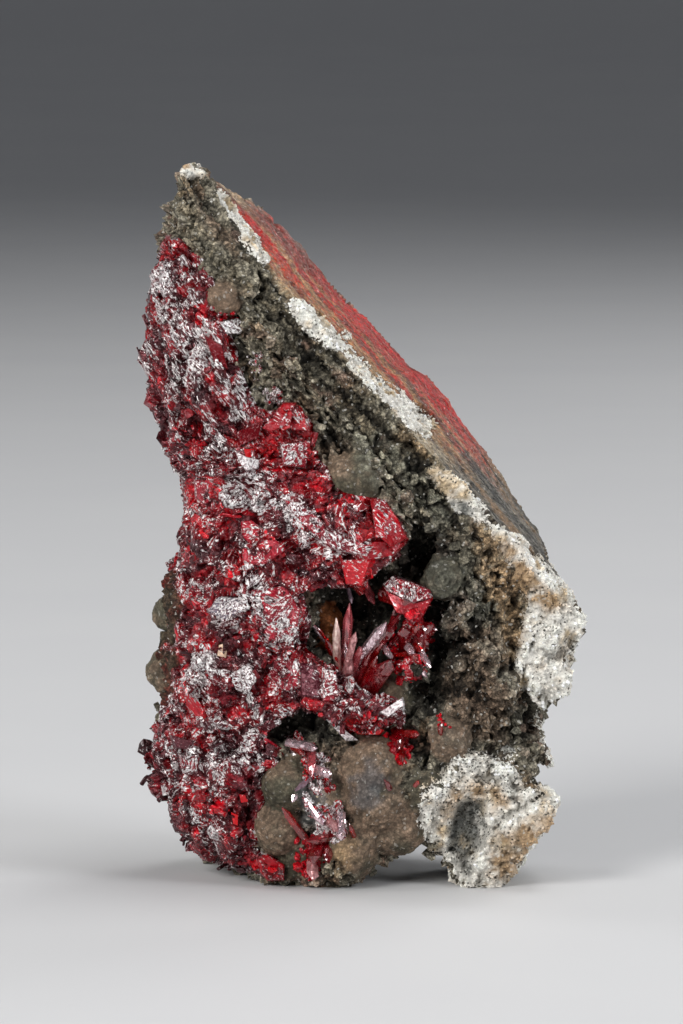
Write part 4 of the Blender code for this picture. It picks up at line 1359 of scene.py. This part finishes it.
def add_grains(mesh, zones, nodule):
    """Small calcite rhombs on the white parts, and flakes and grains on the dark rock."""
    rng = np.random.default_rng(5)
    p = points_of(mesh)
    n = normals_of(mesh)
    # The grains and flakes take the paint of the rock where they sit, painted shade and highlight
    # included.
    colour = painted(mesh, "paint")
    grain = grain_material()
    white = blend(0.75, 0.95, zones["white"]) * fade(78, 80, p[:, 2])
    dark = (1 - zones["white"]) * (1 - nodule) * (1 - zones["slab"])
    dark = dark * blend(1.0, 2.0, plane_depth(p))
    plain = {"squash": (0.6, 1.0), "uneven": 0.15}
    flat = {"squash": (0.3, 1.0), "uneven": 0.5}
    for name, chance, paints, look, count, size, sides, high, lean, dim, shape in (
        ("calcite_grains", white, painted(mesh, "calcite"), grain,
         4200, (0.2, 0.5), 4, (0.15, 0.45), 0.55, 0.7, plain),
        ("rock_grains", dark, colour, grain,
         2200, (0.25, 0.6), 5, (0.15, 0.45), 0.55, 0.7, plain),
        ("rock_flakes", dark, colour, mesh.materials[0],
         3600, (0.6, 1.8), 6, (0.02, 0.12), 0.3, 0.85, flat),
    ):
        chance = chance * (p[:, 2] > 0.8)
        seats = rng.choice(len(p), count, p=chance / chance.sum())
        way = unit(n[seats] + rng.normal(0, lean, (count, 3)))
        width = rng.uniform(*size, count)
        roots = p[seats] - way * width[:, None] * 0.55
        tips = p[seats] + way * (width * rng.uniform(*high, count))[:, None]
        colours = paints[seats] * rng.uniform(dim, 1.25, (count, 1))
        marks = {} if look is grain else {"grit": np.ones(count), "matt": np.full(count, MATT)}
        made = crystals(name, roots, tips, width, colours, marks, rng, sides=sides,
                        shoulder=(0.7, 0.95), blunt=(0.6, 0.95), **shape)
        add_piece(name, made, look)


# ---- the crust


def combed_places(p, combing):
    """Places in which the crust's faces are even; they are drawn out where it is combed."""
    drawn = (0.5 * combing * (p @ COMB))[:, None] * COMB
    return p - drawn + 0.25 * rough(p, 1.5, 97)[:, None]


def crust_looks(p):
    """Colours of places on the crust, what its material reads there, and how bare they are."""
    places = to_photo(p)
    ragged = rough(p, 2.6, 107, 3, 0.6) * 7
    ruby = zone(places, RUBY_ZONES, ragged, 5)
    bare = zone(places, BARE_ZONES, ragged * 0.9, 4)
    bare = bare * fade(2.0, 8.0, p[:, 1] + 3.0 * rough(p, 4.0, 115, 3))
    combing = fade(*COMBED_DOWN, places[:, 1])
    bent = combed_places(p, combing)
    first, second, _, draw = cells(bent, *SMALL_FACES)
    wide_first, wide_second, _, large = cells(bent, *WIDE_FACES)
    # Creases between the faces: they get painted shade in the colour and less of the silvery skin.
    crease_shade = fade(0.02, 0.16, second - first)
    crease_shade = np.maximum(crease_shade, fade(0.02, 0.12, wide_second - wide_first))
    tone = 0.5 * draw[:, 1] + 0.3 * large[:, 1] + 0.35 * rough(p, 2.0, 101, 3, 0.7)
    earth = mixed(shade(88, 78, 62), shade(104, 56, 46), blend(-0.3, 0.4, rough(p, 2.4, 109, 3)))
    red = layered(
        shade(48, 2, 6),
        (shade(184, 4, 20), blend(0.1, 0.8, tone)),
        (shade(142, 38, 52), blend(0.6, 1.0, 0.6 * large[:, 2] + 0.5 * draw[:, 2]) * 0.35),
        (shade(214, 6, 18), ruby * 0.65),
    )
    colour = mixed(red * (1 - 0.7 * crease_shade)[:, None], earth, bare * 0.95)
    # The silvery skin's share; where it is high, the material gives a near-white colour that is
    # partly a painted highlight.
    silver = 0.32 + 0.52 * zone(places, SILVER_ZONES, ragged, 6) - 0.32 * ruby
    silver = silver + 0.55 * rough(p, 6.0, 103, 2) - 0.5 * crease_shade
    silver = silver + 0.4 * (draw[:, 0] - 0.5) + 0.4 * (large[:, 0] - 0.5)
    silver = (silver - 0.22 * blend(735, 790, places[:, 1])) * (1 - bare)
    return colour, {
        "silver": np.clip(silver, 0, MOST_SILVER),
        "comb": 0.85 * combing,
        "etch": 1 - 0.95 * bare,
        "clear": 0.25 * ruby,
    }, bare


def crust_relief(p):
    """How far each point of the crust moves out, in mm: flat tilted faces with steps between."""
    bent = combed_places(p, fade(*COMBED_DOWN, to_photo(p)[:, 1]))
    first, second, _, _ = cells(bent, *SMALL_FACES)
    move = 0.75 * facets(bent, *WIDE_FACES) + 0.42 * facets(bent, *SMALL_FACES)
    move += 0.2 * facets(bent, 0.85, 95) - 0.3 * fade(0.0, 0.14, second - first)
    return np.clip(move - 0.3, -1.3, 0.3)


def bare_relief(p):
    """The same where the crust is bare of crystals: lumpy, dull rock."""
    lumps = 0.9 * bubbles(p, 3.2, 113) + 0.4 * facets(p, 1.2, 117)
    return lumps + 0.5 * rough(p, 1.6, 111, 4, 0.7) - 0.7


def build_crust(rock_mesh):
    """The crust: a faceted body with crystals and large flat faces grown out of it."""
    look = crust_material()
    mesh = remeshed("crust_body", [trimmed("crust")], CRUST_VOXEL)
    set_points(mesh, relaxed(mesh, 1))
    p = points_of(mesh)
    rock_tree = tree_of(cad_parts["rock"].data)
    near_rock = [rock_tree.find_nearest(Vector(c * MM), ROCK_GAP * MM)[0] for c in p]
    inner = np.array([spot is not None for spot in near_rock])
    bare = crust_looks(p)[2]
    move = np.where(inner, 0.4, crust_relief(p) * (1 - bare) + bare * bare_relief(p))
    move = np.where(p[:, 2] < 0.6, np.minimum(move, 0.0), move)
    shaped = p + normals_of(mesh) * move[:, None]
    shaped[:, 2] = np.maximum(shaped[:, 2], 0.0)
    set_points(mesh, shaped)

    colours, marks, _ = crust_looks(p)
    # From how deep each point lies below its surroundings: the silvery share rises on ridges as a
    # painted highlight and falls in hollows, and the paint gets painted shade in hollows.
    hollow = hollowness(mesh)
    worn = 0.3 * blend(-0.05, -0.3, hollow) - 0.7 * blend(0.1, 0.5, hollow)
    marks["silver"] = np.clip(marks["silver"] + worn, 0, MOST_SILVER)
    paint(mesh, colours * (1 - 0.8 * blend(0.08, 0.5, hollow))[:, None])
    mark(mesh, {**marks, "grit": np.ones(len(p)), "matt": np.full(len(p), 0.85)})
    mesh.polygons.foreach_set("use_smooth", [True] * len(mesh.polygons))
    add_piece("crust_body", mesh, look, "crust")
    mesh.materials.append(rock_mesh.materials[0])
    rocky = bare[quads_of(mesh)].mean(axis=1) > 0.5
    mesh.polygons.foreach_set("material_index", rocky.astype(np.int32))
    outer = np.flatnonzero(~inner & (p[:, 2] > 1.2) & (bare < 0.3))
    scatter(mesh, shaped, outer, marks["comb"], look)
    add_faces(look, mesh, rock_mesh)
    strew(look, [mesh, rock_mesh, add_blocks(look)])


def scatter(mesh, p, outer, combing, look):
    """Blocks, long laths and tiny crystals that stand and lie all over the crust's outside."""
    rng = np.random.default_rng(11)
    n = normals_of(mesh)
    for name, count, size, reach, lying in (
        ("crust_blocks", 520, (1.2, 2.8), (0.3, 0.5), 0.0),
        ("crust_laths", 1100, (0.3, 0.7), (1.8, 4.5), 1.0),
        ("crust_sparkle", 2000, (0.25, 0.6), (0.4, 1.0), 0.0),
    ):
        seats = rng.choice(outer, count)
        base = p[seats]
        out = n[seats]
        way = rng.normal(0, 0.4, (count, 3)) + out * (1 - 0.75 * lying)
        lay = np.cross(out, rng.normal(0, 1, (count, 3)))
        lay += 2.5 * combing[seats][:, None] * COMB * rng.choice((-1, 1), (count, 1))
        way = unit(way + lying * lay)
        narrow = 1 - 0.45 * blend(0.4, 0.85, np.abs(out[:, 0]))
        width = rng.uniform(*size, count) * narrow
        half = way * (0.5 * width * rng.uniform(*reach, count))[:, None]
        roots = base - half - out * (0.4 * width)[:, None]
        tips = base + half - out * (0.18 * width)[:, None]
        tips[:, 2] = np.maximum(tips[:, 2], 0.3)
        roots[:, 2] = np.maximum(roots[:, 2], 0.6)
        colours, marks, _ = crust_looks(base)
        colours = colours * rng.uniform(0.55, 1.6, (count, 1))
        silver = marks["silver"] + rng.normal(0, 0.25, count)
        marks["silver"] = np.clip(silver, 0, MOST_SILVER)
        made = crystals(name, roots, tips, width, colours, marks, rng, blunt=(0.5, 0.95))
        add_piece(name, made, look)


def flat_blocks(name, stones, comb, least_etch, look):
    """One mesh of bevelled blocks: each a look, a front, the way back and its rings."""
    verts, faces, colours = [], [], []
    marks = {key: [] for key in ("silver", "comb", "etch", "clear")}
    for kind, front, way, rings in stones:
        faces.extend(stack_faces(len(front), len(verts), False))
        heart = front.mean(axis=0)
        for size, depth in rings:
            verts.extend(heart + (front - heart) * size + way * depth)
        colour, silver, etch, clear = FACE_LOOKS[kind]
        points = len(rings) * len(front)
        colours.extend([shade(*colour)] * points)
        for key, value in zip(marks, (silver, comb, max(etch, least_etch), clear)):
            marks[key].extend([value] * points)
    mesh = built(name, verts, faces, colours, marks)
    add_piece(name, mesh, look)
    return mesh


def add_faces(look, crust_mesh, rock_mesh):
    """The large flat faces that the picture shows, each set into what lies behind it."""
    trees = [tree_of(crust_mesh), tree_of(rock_mesh)]
    stones = []
    for kind, lift, corners in FACES:
        corners = facing(corners)
        middle = corners.mean(axis=0)
        rays = [photo_ray(*c) for c in corners]
        depths = []
        for ray in rays + [photo_ray(*middle)]:
            hits = [hit[3] / MM for hit in seen_by(ray, trees)]
            depths.append(min(hits) if hits else np.nan)
        depths = np.array(depths)
        level = np.nanmedian(depths)
        good = ~np.isnan(depths[:-1]) & (np.abs(depths[:-1] - level) < 3)
        slope = np.zeros(2)
        if good.sum() >= 3:
            flat = np.c_[corners[good] - middle, np.ones(good.sum())]
            slope = np.linalg.lstsq(flat, depths[:-1][good], rcond=None)[0][:2]
            slope = np.clip(slope, -0.08, 0.08)
        level = level + (corners - middle) @ slope - lift
        front = np.array([eye + way * depth for (eye, way), depth in zip(rays, level)])
        stones.append((kind, front, rays[0][1], ((0.9, -0.05), (1.0, 0.16), (1.12, 2.4))))
    flat_blocks("crust_faces", stones, 0.4, 0.0, look)


def add_blocks(look):
    """Blocky crystals whose fronts face the camera, cut off square behind."""
    stones = []
    for kind, forward, thick, corners in BLOCKS:
        corners = facing(corners)
        leans = forward - 0.02 * (corners[:, 1] - corners[:, 1].mean())
        front = np.array([photo_place(x, y, lean) for (x, y), lean in zip(corners, leans)])
        stones.append((kind, front, BACK, ((0.92, -0.1), (1.0, 0.25), (0.8, thick))))
    return flat_blocks("pocket_blocks", stones, 0.2, 0.6, look)


def seen_by(ray, trees):
    """What a line of sight hits in each of the trees."""
    eye, way = ray
    hits = [tree.ray_cast(Vector(eye * MM), Vector(way)) for tree in trees]
    return [hit for hit in hits if hit[0] is not None]


def strew(look, meshes):
    """Tiny crystals on the patches where the picture sparkles."""
    rng = np.random.default_rng(31)
    trees = [tree_of(mesh) for mesh in meshes]
    rows = []
    for count, size, silver, corners in STREWN:
        low, high = np.min(corners, axis=0), np.max(corners, axis=0)
        places = rng.uniform(low, high, (count * 4, 2))
        for place in places[inside(places, corners) > 0][:count]:
            hits = seen_by(photo_ray(*place), trees)
            if hits:
                spot, normal, _, _ = min(hits, key=lambda hit: hit[3])
                way = np.array(normal) + rng.normal(0, 0.45, 3)
                rows.append((np.array(spot) / MM, way, rng.uniform(*size), silver))
    seats, ways, widths, silvers = (np.array(column) for column in zip(*rows))
    ways = unit(ways)
    count = len(rows)
    colours = mixed(shade(150, 8, 24), shade(214, 16, 30), rng.uniform(0, 1, count))
    colours = colours * rng.uniform(0.5, 1.3, (count, 1))
    marks = {
        "silver": np.clip(silvers + rng.normal(0, 0.2, count), 0, 1.3),
        "comb": np.zeros(count),
        "etch": np.ones(count),
        "clear": np.zeros(count),
    }
    roots = seats - ways * widths[:, None] * 0.4
    tips = seats + ways * (widths * rng.uniform(0.3, 0.9, count))[:, None]
    made = crystals("strewn_crystals", roots, tips, widths, colours, marks, rng,
                    slant=0.7, blunt=(0.3, 0.9))
    add_piece("strewn_crystals", made, look)


# ---- free crystals


def free_crystals(name, rows, seed, look, node=None, **shape):
    """One mesh of free crystals, from rows of root, tip, width and look."""
    roots, tips, widths, tones = zip(*rows)
    colours, silver, clear = zip(*(TONES[tone] for tone in tones))
    made = crystals(name, np.array(roots), np.array(tips), widths, np.array(colours),
                    {"silver": silver, "clear": clear}, np.random.default_rng(seed),
                    shoulder=(0.6, 0.85), **shape)
    add_piece(name, made, look, node)


def build_clusters():
    """The free crystals, cluster by cluster, and more in and round the pocket."""
    look = crystal_material()
    for order, (name, rows) in enumerate(CLUSTERS.items()):
        placed = [(root + SHIFT, tip + SHIFT, *rest) for root, tip, *rest in rows]
        free_crystals(name + "_prisms", placed, 200 + order, look, name,
                      sides=8, blunt=(0.05, 0.3))
    placed = [(photo_place(*root), photo_place(*tip), *rest) for root, tip, *rest in SPIKES]
    free_crystals("pocket_spikes", placed, 37, look, sides=7, blunt=(0.05, 0.4), slant=0.6)


# ---- floor, light and camera

# Rings of the floor: radius and height in metres
FLOOR_RINGS = ((1.6, 0.0), (2.2, 0.04), (2.7, 0.22), (3.1, 0.6), (3.3, 1.2), (3.35, 2.0))
FLOOR_STEPS = 96

# Lamps: name, place, width and height in metres, power and colour
LAMPS = (
    ("key", (-0.55, -0.68, 0.50), 0.4, 0.5, 8.6, (1.0, 0.99, 0.97)),
    ("fill", (0.72, -0.45, 0.42), 0.3, 0.5, 4.4, (0.97, 0.98, 1.0)),
    ("top", (0.20, 0.05, 0.9), 0.5, 0.4, 3.4, (1.0, 1.0, 1.0)),
    ("left_rim", (-0.75, 0.35, 0.35), 0.2, 0.5, 1.8, (1.0, 1.0, 1.0)),
    ("back_right", (0.6, 0.75, 0.5), 0.4, 0.5, 3.2, (1.0, 1.0, 1.0)),
)


def build_floor():
    """A pale floor that curves up far away."""
    verts = [(0.0, 0.0, 0.0)]
    for radius, height in FLOOR_RINGS:
        for k in range(FLOOR_STEPS):
            a = 2 * math.pi * k / FLOOR_STEPS
            verts.append((radius * math.cos(a), radius * math.sin(a), height))
    faces = [(0, 1 + k, 1 + (k + 1) % FLOOR_STEPS) for k in range(FLOOR_STEPS)]
    for ring in range(len(FLOOR_RINGS) - 1):
        for k in range(FLOOR_STEPS):
            a = 1 + ring * FLOOR_STEPS + k
            b = 1 + ring * FLOOR_STEPS + (k + 1) % FLOOR_STEPS
            faces.append((a, a + FLOOR_STEPS, b + FLOOR_STEPS, b))
    mesh = bpy.data.meshes.new("floor")
    mesh.from_pydata(verts, [], faces)
    mesh.polygons.foreach_set("use_smooth", [True] * len(mesh.polygons))
    m = Nodes("floor_look")
    pale = m.mix(m.noise(60.0, 2.0), (0.56, 0.56, 0.57, 1), (0.6, 0.6, 0.6, 1))
    mesh.materials.append(m.surface({"Base Color": pale, "Roughness": 0.6}))
    new_object("floor", mesh)


def build_stage():
    """The floor, a dim sky, soft lights and the camera."""
    build_floor()
    world = bpy.data.worlds.new("studio")
    world.use_nodes = True
    sky = world.node_tree.nodes["Background"]
    sky.inputs["Color"].default_value = (0.75, 0.8, 0.9, 1)
    sky.inputs["Strength"].default_value = 0.12
    bpy.context.scene.world = world
    bpy.context.scene.view_settings.view_transform = "Standard"

    target = Vector(PHOTO_TARGET * MM)
    for name, place, width, height, power, colour in LAMPS:
        lamp = bpy.data.lights.new(name, "AREA")
        lamp.shape = "RECTANGLE"
        lamp.size = width
        lamp.size_y = height
        lamp.energy = power
        lamp.color = colour
        obj = new_object(name, lamp)
        obj.location = place
        obj.rotation_mode = "QUATERNION"
        obj.rotation_quaternion = (target - obj.location).to_track_quat("-Z", "Y")
        obj.visible_camera = False

    camera = bpy.data.cameras.new("camera")
    camera.lens = SENSOR * PHOTO_DISTANCE / PHOTO_UNIT / PICTURE_HEIGHT
    camera.sensor_width = SENSOR
    camera.clip_start = 0.01
    camera.clip_end = 20.0
    obj = new_object("camera", camera)
    obj.location = target - Vector(AHEAD) * PHOTO_DISTANCE * MM
    obj.rotation_euler = (math.pi / 2 - PHOTO_TILT, 0.0, 0.0)
    bpy.context.scene.camera = obj


build_stage()
rock_mesh = build_rock()
build_crust(rock_mesh)
build_clusters()
